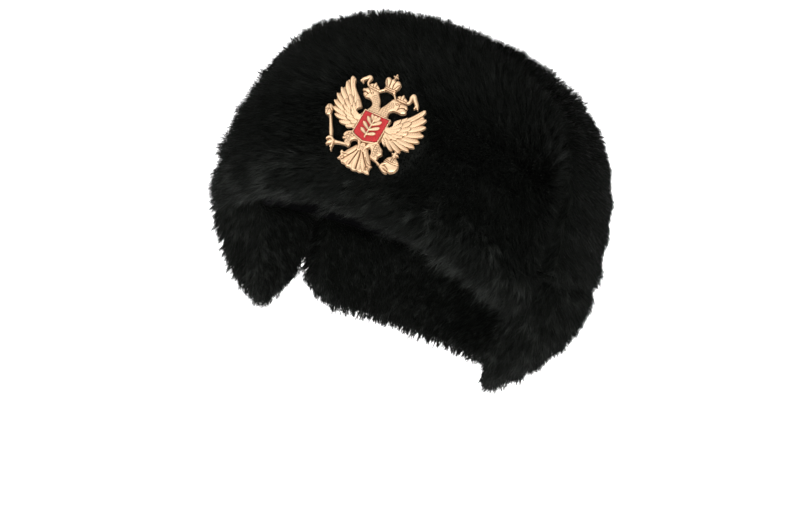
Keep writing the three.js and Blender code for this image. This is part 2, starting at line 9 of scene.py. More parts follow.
import bmesh
import bpy
import numpy as np
from mathutils import Euler, Matrix, Vector


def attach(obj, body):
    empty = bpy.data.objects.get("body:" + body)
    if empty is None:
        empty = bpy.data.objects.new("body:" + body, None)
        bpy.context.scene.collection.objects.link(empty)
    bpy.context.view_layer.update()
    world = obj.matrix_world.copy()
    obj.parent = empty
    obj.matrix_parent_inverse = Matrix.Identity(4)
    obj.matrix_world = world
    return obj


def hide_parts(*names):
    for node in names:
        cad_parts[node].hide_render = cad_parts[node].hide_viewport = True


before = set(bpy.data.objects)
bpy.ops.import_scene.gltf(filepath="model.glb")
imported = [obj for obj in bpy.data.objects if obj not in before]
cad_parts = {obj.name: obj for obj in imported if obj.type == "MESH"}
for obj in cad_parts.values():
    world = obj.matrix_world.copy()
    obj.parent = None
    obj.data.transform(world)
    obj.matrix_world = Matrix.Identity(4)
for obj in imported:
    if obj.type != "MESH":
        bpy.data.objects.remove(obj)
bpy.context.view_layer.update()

# Form that the tips of the fur reach, as the solids have it
FUR_HALF_WIDTH = 0.1275
FUR_HALF_LENGTH = 0.147
FUR_WIDEST_Z = 0.010
FUR_TOP_Z = 0.142
FUR_LOWEST_Z = -0.078
FUR_ROUNDNESS = 2.38

# Front flap: its ends at the temples, and its lower and upper edge at the middle and at the ends
FLAP_END = math.radians(60)
FLAP_LOW_FRONT_Z = 0.017
FLAP_LOW_END_Z = -0.010
FLAP_HIGH_FRONT_Z = 0.137
FLAP_HIGH_END_Z = 0.104

# Badge: the centre of its back on the front flap, and how it leans back and turns there
BADGE_CENTRE = Vector((0.0, -0.13496, 0.067))
BADGE_LEAN = math.radians(21)
BADGE_TURN = math.radians(-5)
BADGE_FRAME = (
    Matrix.Translation(BADGE_CENTRE)
    @ Euler((math.pi / 2 - BADGE_LEAN, 0, 0)).to_matrix().to_4x4()
    @ Matrix.Rotation(BADGE_TURN, 4, "Z")
)
MM = 0.001


# Small helpers for node trees, objects and meshes


def add(tree, kind, inputs=None, **settings):
    """Places a node, sets its properties, and sets or links its inputs by name or number."""
    node = tree.nodes.new(kind)
    for key, value in settings.items():
        setattr(node, key, value)
    for key, value in (inputs or {}).items():
        if isinstance(value, bpy.types.NodeSocket):
            tree.links.new(value, node.inputs[key])
        else:
            node.inputs[key].default_value = value
    return node


def math_node(tree, operation, first, second=0.0):
    return add(tree, "ShaderNodeMath", {0: first, 1: second}, operation=operation).outputs[0]


def vector_node(tree, operation, first, second=(0.0, 0.0, 0.0)):
    return add(tree, "ShaderNodeVectorMath", {0: first, 1: second}, operation=operation).outputs[0]


def scaled(tree, vector, scale):
    node = add(tree, "ShaderNodeVectorMath", {0: vector, "Scale": scale}, operation="SCALE")
    return node.outputs[0]


def mixed_colour(tree, share, first, second):
    return add(tree, "ShaderNodeMix", {0: share, 6: first, 7: second}, data_type="RGBA").outputs[2]


def bump(tree, height, distance, strength):
    """The normal of a surface with a fine height on it, which is a distance in metres."""
    node = add(tree, "ShaderNodeBump", {"Height": height, "Distance": distance, "Strength": strength})
    return node.outputs[0]


def stored(tree, name, kind="FLOAT"):
    """A value that the mesh holds under a name."""
    return add(tree, "GeometryNodeInputNamedAttribute", {"Name": name}, data_type=kind).outputs[0]


def random_number(tree, low, high, seed):
    """A number between two others, of its own for each strand."""
    node = add(tree, "FunctionNodeRandomValue", {2: low, 3: high, "Seed": seed}, data_type="FLOAT")
    return node.outputs[1]


def group_sockets(tree, sockets):
    """Gives a node group its sockets, from rows of name, direction, kind and default."""
    for name, direction, kind, default in sockets:
        socket = tree.interface.new_socket(name, in_out=direction, socket_type=kind)
        if default is not None:
            socket.default_value = default


def run_nodes(obj, tree, values):
    """The plain mesh that a Geometry Nodes tree makes of an object, which is then removed."""
    modifier = obj.modifiers.new("made", "NODES")
    modifier.node_group = tree
    for item in tree.interface.items_tree:
        if item.in_out == "INPUT" and item.name in values:
            modifier[item.identifier] = values[item.name]
    mesh = applied(obj)
    bpy.data.objects.remove(obj)
    return mesh


def applied(obj):
    """A new mesh with the object's modifiers applied."""
    if obj.name not in bpy.context.scene.collection.objects:
        bpy.context.scene.collection.objects.link(obj)
    bpy.context.view_layer.update()
    graph = bpy.context.evaluated_depsgraph_get()
    mesh = bpy.data.meshes.new_from_object(obj.evaluated_get(graph))
    obj.modifiers.clear()
    return mesh


def new_object(name, data):
    obj = bpy.data.objects.new(name, data)
    bpy.context.scene.collection.objects.link(obj)
    return obj


def new_piece(name, mesh, node):
    """A piece of the hat, which is one body, in place of a solid."""
    piece = new_object(name, mesh)
    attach(piece, "root")
    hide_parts(node)
    return piece


def set_material(mesh, material):
    mesh.materials.clear()
    mesh.materials.append(material)


def set_attribute(mesh, name, kind, field, values):
    attribute = mesh.attributes.new(name, kind, "POINT")
    attribute.data.foreach_set(field, np.ascontiguousarray(values, dtype=np.float32).ravel())


def mesh_arrays(mesh):
    """Places and normals of a mesh's points, as rows of x, y and z."""
    places = np.empty(len(mesh.vertices) * 3)
    mesh.vertices.foreach_get("co", places)
    normals = np.empty(len(mesh.vertices) * 3)
    mesh.vertices.foreach_get("normal", normals)
    return places.reshape(-1, 3), normals.reshape(-1, 3)


def move_points(mesh, places):
    mesh.vertices.foreach_set("co", places.ravel())
    mesh.update()


# Materials


def fibre_tone_and_sheen_group():
    """Colour of a strand, a little different on each: darker at the root as painted shade, lighter at
    the tip as painted sheen.

    The strand's UV map holds its tint and painted sheen across, and the height along the strand upwards.
    """
    tree = bpy.data.node_groups.new("fibre_tone_and_sheen", "ShaderNodeTree")
    group_sockets(tree, [
        ("Root", "INPUT", "NodeSocketColor", (0.002, 0.002, 0.002, 1)),
        ("Dark tip", "INPUT", "NodeSocketColor", (0.01, 0.01, 0.01, 1)),
        ("Sheen tip", "INPUT", "NodeSocketColor", (0.03, 0.03, 0.03, 1)),
        ("Color", "OUTPUT", "NodeSocketColor", None),
    ])
    given = add(tree, "NodeGroupInput").outputs
    chart = add(tree, "ShaderNodeUVMap", uv_map="OFBake").outputs["UV"]
    strand = add(tree, "ShaderNodeSeparateXYZ", {0: chart}).outputs
    rise = math_node(tree, "POWER", strand["Y"], 1.4)
    tint_and_sheen = math_node(tree, "POWER", strand["X"], 3.0)
    tip = mixed_colour(tree, tint_and_sheen, given["Dark tip"], given["Sheen tip"])
    add(tree, "NodeGroupOutput", {"Color": mixed_colour(tree, rise, given["Root"], tip)})
    return tree


def grain_group():
    """Fine unevenness of a cast or fired surface, as a height and a mask."""
    tree = bpy.data.node_groups.new("surface_grain", "ShaderNodeTree")
    group_sockets(tree, [
        ("Grain size", "INPUT", "NodeSocketFloat", 0.0004),
        ("Height", "OUTPUT", "NodeSocketFloat", None),
        ("Patches", "OUTPUT", "NodeSocketFloat", None),
    ])
    given = add(tree, "NodeGroupInput").outputs
    place = add(tree, "ShaderNodeTexCoord").outputs["Object"]
    scale = math_node(tree, "DIVIDE", 1.0, given["Grain size"])
    fine = add(tree, "ShaderNodeTexNoise", {"Vector": place, "Scale": scale, "Detail": 3.0})
    coarse_scale = math_node(tree, "MULTIPLY", scale, 0.12)
    coarse = add(tree, "ShaderNodeTexNoise", {"Vector": place, "Scale": coarse_scale, "Detail": 2.0})
    add(tree, "NodeGroupOutput", {"Height": fine.outputs[0], "Patches": coarse.outputs[0]})
    return tree


def new_material(name):
    material = bpy.data.materials.new(name)
    material.use_nodes = True
    return material, material.node_tree, material.node_tree.nodes["Principled BSDF"]


def fur_material(fibre_tone_and_sheen):
    material, tree, shader = new_material("black fur")
    # Painted sheen: the light tip colour stands in for light caught on the strands, and the darker root
    # for shade
    strand = add(tree, "ShaderNodeGroup", {
        "Root": (0.0052, 0.0060, 0.0050, 1),
        "Dark tip": (0.0058, 0.0067, 0.0057, 1),
        "Sheen tip": (0.0452, 0.0490, 0.0446, 1),
    }, node_tree=fibre_tone_and_sheen)
    tree.links.new(strand.outputs["Color"], shader.inputs["Base Color"])
    shader.inputs["Roughness"].default_value = 0.55
    shader.inputs["Specular IOR Level"].default_value = 0.05
    return material


def gilt_material(grain):
    """Gilt that is a little worn in patches, with painted shade darkening its creases."""
    material, tree, shader = new_material("matte gilt")
    surface = add(tree, "ShaderNodeGroup", {"Grain size": 0.0005}, node_tree=grain).outputs
    crease_shade = add(tree, "ShaderNodeAttribute", attribute_name="crease_shade").outputs["Fac"]
    gold = mixed_colour(tree, surface["Patches"], (0.82, 0.55, 0.34, 1), (0.92, 0.66, 0.42, 1))
    # Painted shade: the gilt is mixed towards dark brown where the casting lies deep
    shaded = mixed_colour(tree, crease_shade, gold, (0.17, 0.075, 0.026, 1))
    worn = add(tree, "ShaderNodeMapRange", {0: surface["Patches"], 3: 0.5, 4: 0.4})
    tree.links.new(shaded, shader.inputs["Base Color"])
    tree.links.new(worn.outputs[0], shader.inputs["Roughness"])
    tree.links.new(bump(tree, surface["Height"], 0.00004, 0.5), shader.inputs["Normal"])
    shader.inputs["Metallic"].default_value = 0.7
    return material


def enamel_material(grain):
    material, tree, shader = new_material("red enamel")
    surface = add(tree, "ShaderNodeGroup", {"Grain size": 0.0007}, node_tree=grain).outputs
    red = mixed_colour(tree, surface["Height"], (0.16, 0.006, 0.007, 1), (0.74, 0.036, 0.040, 1))
    tree.links.new(red, shader.inputs["Base Color"])
    tree.links.new(bump(tree, surface["Height"], 0.00008, 0.6), shader.inputs["Normal"])
    shader.inputs["Roughness"].default_value = 0.42
    shader.inputs["Specular IOR Level"].default_value = 0.2
    return material


def lining_material():
    """Black woven cloth, whose threads follow the piece's own UV map in metres."""
    material, tree, shader = new_material("black lining cloth")
    place = add(tree, "ShaderNodeUVMap", uv_map="cloth").outputs["UV"]
    threads = []
    for direction in ("X", "Y"):
        wave = add(tree, "ShaderNodeTexWave", {
            "Vector": place, "Scale": 260.0, "Distortion": 0.5, "Detail": 1.0,
        }, bands_direction=direction)
        threads.append(wave.outputs["Fac"])
    weave = math_node(tree, "MULTIPLY", threads[0], threads[1])
    black = mixed_colour(tree, weave, (0.0012, 0.0012, 0.0014, 1), (0.0046, 0.0046, 0.0052, 1))
    tree.links.new(black, shader.inputs["Base Color"])
    tree.links.new(bump(tree, weave, 0.00025, 0.6), shader.inputs["Normal"])
    shader.inputs["Roughness"].default_value = 0.85
    shader.inputs["Specular IOR Level"].default_value = 0.02
    return material


# Fur

PILE_LENGTH = 0.0105
# A shorter pile than this is left out, so the backing is bare there
SHORTEST_PILE = 0.0012
# How far the backing lies inside the solid, where the pile is long
BACKING_INSET = 0.0050
# Radians for each metre, of the waves that part the fur into wisps and smooth patches
WISP_WAVES = 300


def pile_tree():
    """Fur on a backing: a bent blade on each scattered point, drawn into tufts, and realized.

    The backing holds the length, comb, tufting and painted sheen and shade of its pile at each point.
    """
    tree = bpy.data.node_groups.new("fur_pile", "GeometryNodeTree")
    tree.is_modifier = True
    group_sockets(tree, [
        ("Geometry", "INPUT", "NodeSocketGeometry", None),
        ("Density", "INPUT", "NodeSocketFloat", 1000000.0),
        ("Strand width", "INPUT", "NodeSocketFloat", 0.00042),
        ("Strand bend", "INPUT", "NodeSocketFloat", 0.3),
        ("Lean", "INPUT", "NodeSocketFloat", 1.0),
        ("Tuft size", "INPUT", "NodeSocketFloat", 0.0038),
        ("Tuft pull", "INPUT", "NodeSocketFloat", 0.85),
        ("Scatter", "INPUT", "NodeSocketFloat", 0.22),
        ("Keep backing", "INPUT", "NodeSocketBool", True),
        ("Seed", "INPUT", "NodeSocketInt", 1),
        ("Material", "INPUT", "NodeSocketMaterial", None),
        ("Geometry", "OUTPUT", "NodeSocketGeometry", None),
    ])
    given = add(tree, "NodeGroupInput").outputs
    grows = math_node(tree, "GREATER_THAN", stored(tree, "pile"), SHORTEST_PILE)
    scattered = add(tree, "GeometryNodeDistributePointsOnFaces", {
        "Mesh": given["Geometry"],
        "Density": math_node(tree, "MULTIPLY", grows, given["Density"]),
        "Seed": given["Seed"],
    }, distribute_method="RANDOM").outputs

    place = add(tree, "GeometryNodeInputPosition").outputs[0]
    tuft_scale = math_node(tree, "DIVIDE", 1.0, given["Tuft size"])
    tuft = add(tree, "ShaderNodeTexVoronoi", {"Vector": place, "Scale": tuft_scale}).outputs
    chance = add(tree, "ShaderNodeSeparateXYZ", {0: tuft["Color"]}).outputs
    to_middle = vector_node(tree, "SUBTRACT", tuft["Position"], place)
    heading = strand_heading(tree, given, scattered["Normal"], to_middle, tuft_scale)
    length = strand_length(tree, chance["X"])
    size = add(tree, "ShaderNodeCombineXYZ", {
        0: math_node(tree, "MULTIPLY", length, given["Strand bend"]),
        1: given["Strand width"],
        2: length,
    })
    tint_and_sheen_stored = add(tree, "GeometryNodeStoreNamedAttribute", {
        "Geometry": scattered["Points"], "Name": "tint_and_sheen", "Value": strand_tint_and_sheen(tree, chance["Y"]),
    }, data_type="FLOAT", domain="POINT")
    placed = add(tree, "GeometryNodeInstanceOnPoints", {
        "Points": tint_and_sheen_stored.outputs[0],
        "Instance": strand_nodes(tree),
        "Rotation": strand_turn(tree, heading),
        "Scale": size.outputs[0],
    })
    realized = add(tree, "GeometryNodeRealizeInstances", {0: placed.outputs[0]})
    kept = add(tree, "GeometryNodeSwitch", {
        "Switch": given["Keep backing"], "True": given["Geometry"],
    }, input_type="GEOMETRY")
    whole = add(tree, "GeometryNodeJoinGeometry")
    tree.links.new(realized.outputs[0], whole.inputs[0])
    tree.links.new(kept.outputs[0], whole.inputs[0])

    chart = add(tree, "ShaderNodeCombineXYZ", {0: stored(tree, "tint_and_sheen"), 1: stored(tree, "along")})
    charted = add(tree, "GeometryNodeStoreNamedAttribute", {
        "Geometry": whole.outputs[0], "Name": "OFBake", "Value": chart.outputs[0],
    }, data_type="FLOAT2", domain="CORNER")
    dressed = add(tree, "GeometryNodeSetMaterial", {
        "Geometry": charted.outputs[0], "Material": given["Material"],
    })
    add(tree, "NodeGroupOutput", {0: dressed.outputs[0]})
    return tree


def strand_heading(tree, given, normal, to_middle, tuft_scale):
    """Where a strand points: out of the backing, combed, drawn to its tuft and a little astray."""
    pull = math_node(tree, "MULTIPLY", given["Tuft pull"], stored(tree, "tufting"))
    place = add(tree, "GeometryNodeInputPosition").outputs[0]
    wander_scale = math_node(tree, "MULTIPLY", tuft_scale, 0.45)
    wander = add(tree, "ShaderNodeTexNoise", {"Vector": place, "Scale": wander_scale, "Detail": 1.0})
    wander = vector_node(tree, "SUBTRACT", wander.outputs["Color"], (0.5, 0.5, 0.5))
    stray = add(tree, "FunctionNodeRandomValue", {
        0: (-1.0, -1.0, -1.0), 1: (1.0, 1.0, 1.0), "Seed": 11,
    }, data_type="FLOAT_VECTOR").outputs[0]
    heading = normal
    for turning in (
        scaled(tree, stored(tree, "comb", "FLOAT_VECTOR"), given["Lean"]),
        scaled(tree, to_middle, math_node(tree, "MULTIPLY", tuft_scale, pull)),
        scaled(tree, wander, math_node(tree, "MULTIPLY", pull, 1.6)),
        scaled(tree, stray, given["Scatter"]),
    ):
        heading = vector_node(tree, "ADD", heading, turning)
    return heading


def strand_turn(tree, heading):
    """Stands a strand along its heading and turns its bend about the way of the comb."""
    upright = add(tree, "FunctionNodeAlignRotationToVector", {"Vector": heading}, axis="Z")
    combed = add(tree, "FunctionNodeAlignRotationToVector", {
        "Rotation": upright.outputs[0], "Vector": stored(tree, "comb", "FLOAT_VECTOR"),
    }, axis="X", pivot_axis="Z")
    rolled = add(tree, "FunctionNodeAxisAngleToRotation", {
        "Axis": (0.0, 0.0, 1.0), "Angle": random_number(tree, -1.2, 1.2, 12),
    })
    turned = add(tree, "FunctionNodeRotateRotation", {
        "Rotation": combed.outputs[0], "Rotate By": rolled.outputs[0],
    }, rotation_space="LOCAL")
    return turned.outputs[0]


def strand_length(tree, tuft_chance):
    """Length of a strand: that of the pile, uneven from strand to strand and from tuft to tuft."""
    from_even = math_node(tree, "SUBTRACT", tuft_chance, 0.5)
    uneven = math_node(tree, "MULTIPLY", from_even, stored(tree, "tufting"))
    uneven = math_node(tree, "MULTIPLY", uneven, 0.6)
    length = math_node(tree, "MULTIPLY", stored(tree, "pile"), random_number(tree, 0.7, 1.15, 13))
    return math_node(tree, "MULTIPLY", length, math_node(tree, "ADD", uneven, 1.0))


def strand_tint_and_sheen(tree, tuft_chance):
    """How much painted sheen the tip of a strand gets: by itself, by its tuft and by its place on the
    hat.
    """
    own = random_number(tree, 0.0, 0.45, 14)
    shared = math_node(tree, "MULTIPLY", math_node(tree, "POWER", tuft_chance, 2.5), 0.75)
    return math_node(tree, "MULTIPLY", math_node(tree, "ADD", own, shared), stored(tree, "sheen_and_shade"))


def strand_nodes(tree):
    """One strand of unit length, width and bend: a blade that tapers, of three triangles."""
    blade = add(tree, "GeometryNodeMeshGrid", {
        "Size X": 1.0, "Size Y": 1.0, "Vertices X": 2, "Vertices Y": 3,
    })
    place = add(tree, "GeometryNodeInputPosition").outputs[0]
    flat = add(tree, "ShaderNodeSeparateXYZ", {0: place}).outputs
    along = math_node(tree, "ADD", flat["Y"], 0.5)
    taper = math_node(tree, "SUBTRACT", 1.0, math_node(tree, "POWER", along, 1.8))
    width = math_node(tree, "MULTIPLY", flat["X"], taper)
    bent = math_node(tree, "POWER", along, 2.0)
    charted = add(tree, "GeometryNodeStoreNamedAttribute", {
        "Geometry": blade.outputs["Mesh"], "Name": "along", "Value": along,
    }, data_type="FLOAT", domain="POINT")
    shaped = add(tree, "ShaderNodeCombineXYZ", {0: bent, 1: width, 2: along})
    moved = add(tree, "GeometryNodeSetPosition", {
        "Geometry": charted.outputs[0], "Position": shaped.outputs[0],
    })
    closed = add(tree, "GeometryNodeMergeByDistance", {"Geometry": moved.outputs[0], "Distance": 0.001})
    return closed.outputs[0]


def merged_mesh(node, name):
    """Copy of a solid's mesh with its shared corners merged."""
    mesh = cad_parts[node].data.copy()
    mesh.name = name
    form = bmesh.new()
    form.from_mesh(mesh)
    bmesh.ops.remove_doubles(form, verts=form.verts, dist=1e-5)
    form.to_mesh(mesh)
    form.free()
    return mesh


def soft_backing(node, voxel, rounds):
    """Even, smoothed copy of a soft solid, as the backing of its fur or as its cloth."""
    obj = bpy.data.objects.new(node + "_solid", merged_mesh(node, node + "_solid"))
    even = obj.modifiers.new("even", "REMESH")
    even.mode = "VOXEL"
    even.voxel_size = voxel
    mesh = applied(obj)
    bpy.data.objects.remove(obj)
    relax(mesh, rounds)
    mesh.shade_smooth()
    return mesh


def relax(mesh, rounds):
    """Smooths a mesh without making it shrink: each pass inwards is followed by one outwards."""
    places, _ = mesh_arrays(mesh)
    edges = np.empty(len(mesh.edges) * 2, dtype=np.int32)
    mesh.edges.foreach_get("vertices", edges)
    first, second = edges.reshape(-1, 2).T
    both = np.concatenate([first, second])
    count = np.bincount(both, minlength=len(places))[:, None]
    for _ in range(rounds):
        for factor in (0.6, -0.62):
            near = np.empty_like(places)
            for axis in range(3):
                values = np.concatenate([places[second, axis], places[first, axis]])
                near[:, axis] = np.bincount(both, weights=values, minlength=len(places))
            places += (near / count - places) * factor
    move_points(mesh, places)


def azimuth_of(places):
    """Angle round the hat, 0 at the middle of the front and above 0 on the left side."""
    return np.arctan2(places[:, 0], -places[:, 1])


def oval_radius(azimuth):
    """Radius of the fur where it is widest, at an angle round the hat."""
    return 1 / np.hypot(np.sin(azimuth) / FUR_HALF_WIDTH, np.cos(azimuth) / FUR_HALF_LENGTH)


def form_share(places):
    """How far out a point lies, as a share of the way to the tips of the fur."""
    across = np.hypot(places[:, 0], places[:, 1]) / oval_radius(azimuth_of(places))
    above = places[:, 2] - FUR_WIDEST_Z
    reach = np.where(above > 0, FUR_TOP_Z - FUR_WIDEST_Z, FUR_WIDEST_Z - FUR_LOWEST_Z)
    return (across ** FUR_ROUNDNESS + np.abs(above / reach) ** FUR_ROUNDNESS) ** (1 / FUR_ROUNDNESS)


def smooth_step(low, high, values):
    """0 up to the low value and 1 from the high one on, with a soft rise between them."""
    share = np.clip((values - low) / (high - low), 0, 1)
    return share * share * (3 - 2 * share)


def bell(values, middle, width):
    """1 at the middle, and falling away to 0 on both sides of it."""
    return np.exp(-(((values - middle) / width) ** 2))


def outwardness(places, normals):
    """1 where a surface faces away from the hat's axis, and -1 where it faces inwards."""
    level = places.copy()
    level[:, 2] = 0
    level /= np.linalg.norm(level, axis=1, keepdims=True) + 1e-9
    return (level * normals).sum(axis=1)


def along_surface(direction, normals):
    """Unit directions laid along the surface, shorter where they are nearly square to it."""
    direction = np.broadcast_to(np.asarray(direction, dtype=float), normals.shape)
    flat = direction - (direction * normals).sum(axis=1, keepdims=True) * normals
    return flat / np.maximum(np.linalg.norm(flat, axis=1, keepdims=True), 0.35)


def mixed(first, second, share):
    """Blend of two rows of values or of vectors, by a share for each row."""
    share = share[:, None] if np.ndim(first) == 2 or np.ndim(second) == 2 else share
    return first * (1 - share) + second * share


def badge_distance(places):
    """Distance of each point from the middle of the badge, across the badge's plane."""
    turned = np.array(BADGE_FRAME.inverted().to_3x3())
    local = (places - np.array(BADGE_CENTRE)) @ turned.T
    return np.hypot(local[:, 0], local[:, 1])


def front_share(azimuth, power):
    """1 at the middle of the front flap, 0 at its ends."""
    return np.cos(np.minimum(np.abs(azimuth) / FLAP_END, 1) * math.pi / 2) ** power


def flap_height(places):
    """Height up the front flap, 0 at its lower edge and 1 at its upper one."""
    azimuth = azimuth_of(places)
    low = FLAP_LOW_END_Z + (FLAP_LOW_FRONT_Z - FLAP_LOW_END_Z) * front_share(azimuth, 1.3)
    high = FLAP_HIGH_END_Z + (FLAP_HIGH_FRONT_Z - FLAP_HIGH_END_Z) * front_share(azimuth, 0.9)
    return (places[:, 2] - low) / (high - low)


def wisps(places):
    """Where the pile stands in wisps and where it lies smooth: 1 and 0, in patches of 2 cm."""
    x, y, z = places.T * WISP_WAVES
    waves = np.sin(x + 1.3 * np.sin(0.7 * y)) + np.sin(y * 1.1 + 1.2 * np.sin(0.8 * z))
    waves = waves + np.sin(z * 0.9 + 1.4 * np.sin(0.6 * x))
    return smooth_step(-0.6, 1.6, waves)


def wisp_sheen(tufting):
    """Painted sheen on the tips: hair drawn into wisps is painted lighter, as if it caught more light.
    """
    return 0.66 + 0.5 * np.clip((tufting - 0.3) / 0.8, 0, 1)


def crown_pile(places, normals):
    """Crown: outwards over the top and down the sides, and bare under the flap and inside.

    This rule and the next two give the length, comb, tufting and painted sheen and shade of the pile at
    each point.
    """
    # Zones: the top and its crest, the hem over the hanging flaps, the right side, and the left
    # side, where the fur lies smooth
    x, _, z = places.T
    top = smooth_step(0.06, 0.12, z)
    crest = smooth_step(0.112, 0.132, z)
    hem = 1 - smooth_step(0.022, 0.045, z)
    right_side = 1 - smooth_step(-0.07, 0.02, x)
    sleek = smooth_step(0.055, 0.085, x) * smooth_step(0.02, 0.05, z)
    stand = wisps(places)

    share = form_share(places)
    outward = smooth_step(-0.05, 0.25, (normals * places).sum(axis=1) / np.linalg.norm(places, axis=1))
    outward = np.maximum(outward, smooth_step(0.93, 0.97, share))
    length = PILE_LENGTH * smooth_step(0.84, 0.9, share) * outward
    length = length * (0.9 + 0.2 * stand) * (1 + 0.3 * hem) * (1 - 0.25 * sleek)

    down = along_surface((0.0, 0.35, -1.0), normals) * (0.9 - 0.1 * hem - 0.5 * right_side)[:, None]
    across = places * (1.0, 1.0, 0.0)
    across /= np.linalg.norm(across, axis=1, keepdims=True) + 0.02
    over = along_surface(across, normals) * (0.35 - 0.3 * crest)[:, None]
    tufting = (0.6 + 0.4 * np.maximum(top, right_side) + 0.1 * crest) * (0.45 + 0.9 * stand)
    tufting = tufting * (1 - 0.55 * sleek)
    # Painted sheen and shade: tips lighter in wisps and darker on the top
    sheen_and_shade = wisp_sheen(tufting) * (1 - 0.25 * top)
    return length, mixed(down, over, top), tufting, sheen_and_shade


def front_pile(places, normals):
    """Front flap: nearly upright on its face, combed down on the roll, and parted near the top."""
    # Zones: the lower roll, the upper part and its crest, the left side, and the flap's two ends
    azimuth = azimuth_of(places)
    height = flap_height(places)
    roll = 1 - smooth_step(0.1, 0.3, height)
    top = smooth_step(0.45, 1.0, height)
    crest = smooth_step(0.88, 1.0, height)
    left_side = smooth_step(-0.2, 0.9, azimuth)
    end = smooth_step(0.7, 1.0, np.abs(azimuth) / FLAP_END)
    stand = wisps(places)

    back_edge = 0.36 * crest
    outward = smooth_step(-0.6 - back_edge, -0.2 - back_edge, outwardness(places, normals))
    tucked = 1 - smooth_step(0.06, 0.12, height)
    behind_badge = 1 - smooth_step(0.030, 0.040, badge_distance(places))
    length = PILE_LENGTH * np.maximum(outward, 0.4 * tucked) * (1 - 0.8 * behind_badge)
    length = length * (0.94 + 0.12 * stand + 0.12 * roll - 0.1 * crest)

    face = along_surface((-0.45, 0.0, -0.9), normals) * (0.3 + 0.25 * left_side)[:, None]
    swept = np.stack([-0.95 + 0.6 * left_side, 0 * height, -1.0 + 0 * height], axis=1)
    down = along_surface(swept, normals) * 1.15
    up = along_surface((-0.5, -0.3, 0.85), normals) * 0.55
    parting = along_surface((-1.0, 0.0, 0.0), normals) * (1.8 * top * (1 - top))[:, None]
    comb = mixed(mixed(face, down, roll), up, top) + parting
    comb = comb * (1 - 0.75 * crest)[:, None]
    drawn = np.maximum(np.maximum(roll, end), np.maximum(0.3 * top, 0.8 * crest))
    tufting = 0.3 + (0.3 + 0.7 * stand) * drawn
    # Painted sheen and shade: tips lighter in wisps and on the lower roll, as if lit from below, and
    # darker towards the top
    sheen_and_shade = wisp_sheen(tufting) * (1 + 0.6 * roll * stand - 0.22 * top)
    return length, comb, tufting, sheen_and_shade


def hanging_pile(places, normals):
    """Ear or neck flap: long outside and on its edges, and shorter on its inner face."""
    z = places[:, 2]
    outward = outwardness(places, normals)
    low = 1 - smooth_step(-0.055, -0.01, z)
    stand = wisps(places)

    length = PILE_LENGTH * (0.5 + 0.5 * smooth_step(-0.6, 0.0, outward))
    under_crown = smooth_step(0.6, 0.9, normals[:, 2]) * smooth_step(0.005, 0.012, z)
    length = length * (1 - under_crown) * (1.08 - 0.08 * smooth_step(-0.06, -0.045, z))
    length = length * (0.9 + 0.14 * stand)

    lean = 0.6 + 0.3 * low + 0.3 * (1 - smooth_step(-0.4, 0.2, outward))
    comb = along_surface((0.0, 0.1, -1.0), normals) * lean[:, None]
    tufting = 0.4 + (0.2 + 0.4 * stand) * (1 + low)
    # Painted sheen: tips lighter in wisps, and more so low on the flap, as if lit from below
    sheen_and_shade = wisp_sheen(tufting) * (1 + 0.7 * low * stand)
    return length, comb, tufting, sheen_and_shade


def flap_roll(places, normals):
    """How far the face of the front flap swells at its lower roll, and sinks just above it."""
    height = flap_height(places)
    swell = 0.0022 * bell(height, 0.09, 0.09)
    sink = 0.0018 * bell(height, 0.28, 0.07)
    return (swell - sink) * smooth_step(0.0, 0.4, outwardness(places, normals))


def fur_pieces(node, names, pile_rule, settings, swelling=None):
    """Fur that stands for one solid: its backing, drawn in a little, and the strands on it.

    A large solid has its strands in two pieces, and the first of them holds the backing.
    """
    mesh = soft_backing(node, voxel=0.004, rounds=14)
    places, normals = mesh_arrays(mesh)
    length, comb, tufting, sheen_and_shade = pile_rule(places, normals)
    below = smooth_step(0.5, 0.9, -normals[:, 2])
    inset = BACKING_INSET * np.clip(length / PILE_LENGTH, 0, 1) * (1 - 0.6 * below)
    if swelling:
        inset = inset - swelling(places, normals)
    move_points(mesh, places - normals * inset[:, None])
    for name, values in (("pile", length), ("tufting", tufting), ("sheen_and_shade", sheen_and_shade)):
        set_attribute(mesh, name, "FLOAT", "value", values)
    set_attribute(mesh, "comb", "FLOAT_VECTOR", "vector", comb)
    for number, name in enumerate(names):
        backing = bpy.data.objects.new(name + "_backing", mesh.copy())
        furred = run_nodes(backing, PILE, {
            **settings,
            "Keep backing": number == 0,
            "Seed": settings["Seed"] + number,
            "Material": FUR,
        })
        for spare in ("pile", "comb", "tufting", "sheen_and_shade", "tint_and_sheen", "along"):
            attribute = furred.attributes.get(spare)
            if attribute:
                furred.attributes.remove(attribute)
        furred.shade_smooth()
        furred.name = name
        piece = new_piece(name, furred, node)


# Badge: a cast relief, drawn in millimetres on the plane of the badge's back

# The grid: its pitch, how far it reaches each way, and how far it is worked beside a form
RELIEF_PITCH = 0.235
RELIEF_REACH = 36.0
EDGE_MARGIN = 1.5
# Steps from one point of a smooth path to the next
PATH_STEPS = 6
# Quill and barbs of a feather
QUILL_WIDTH = 0.2
QUILL_HEIGHT = 0.2
BARB_HEIGHT = 0.06
BARB_PITCH = 1.5


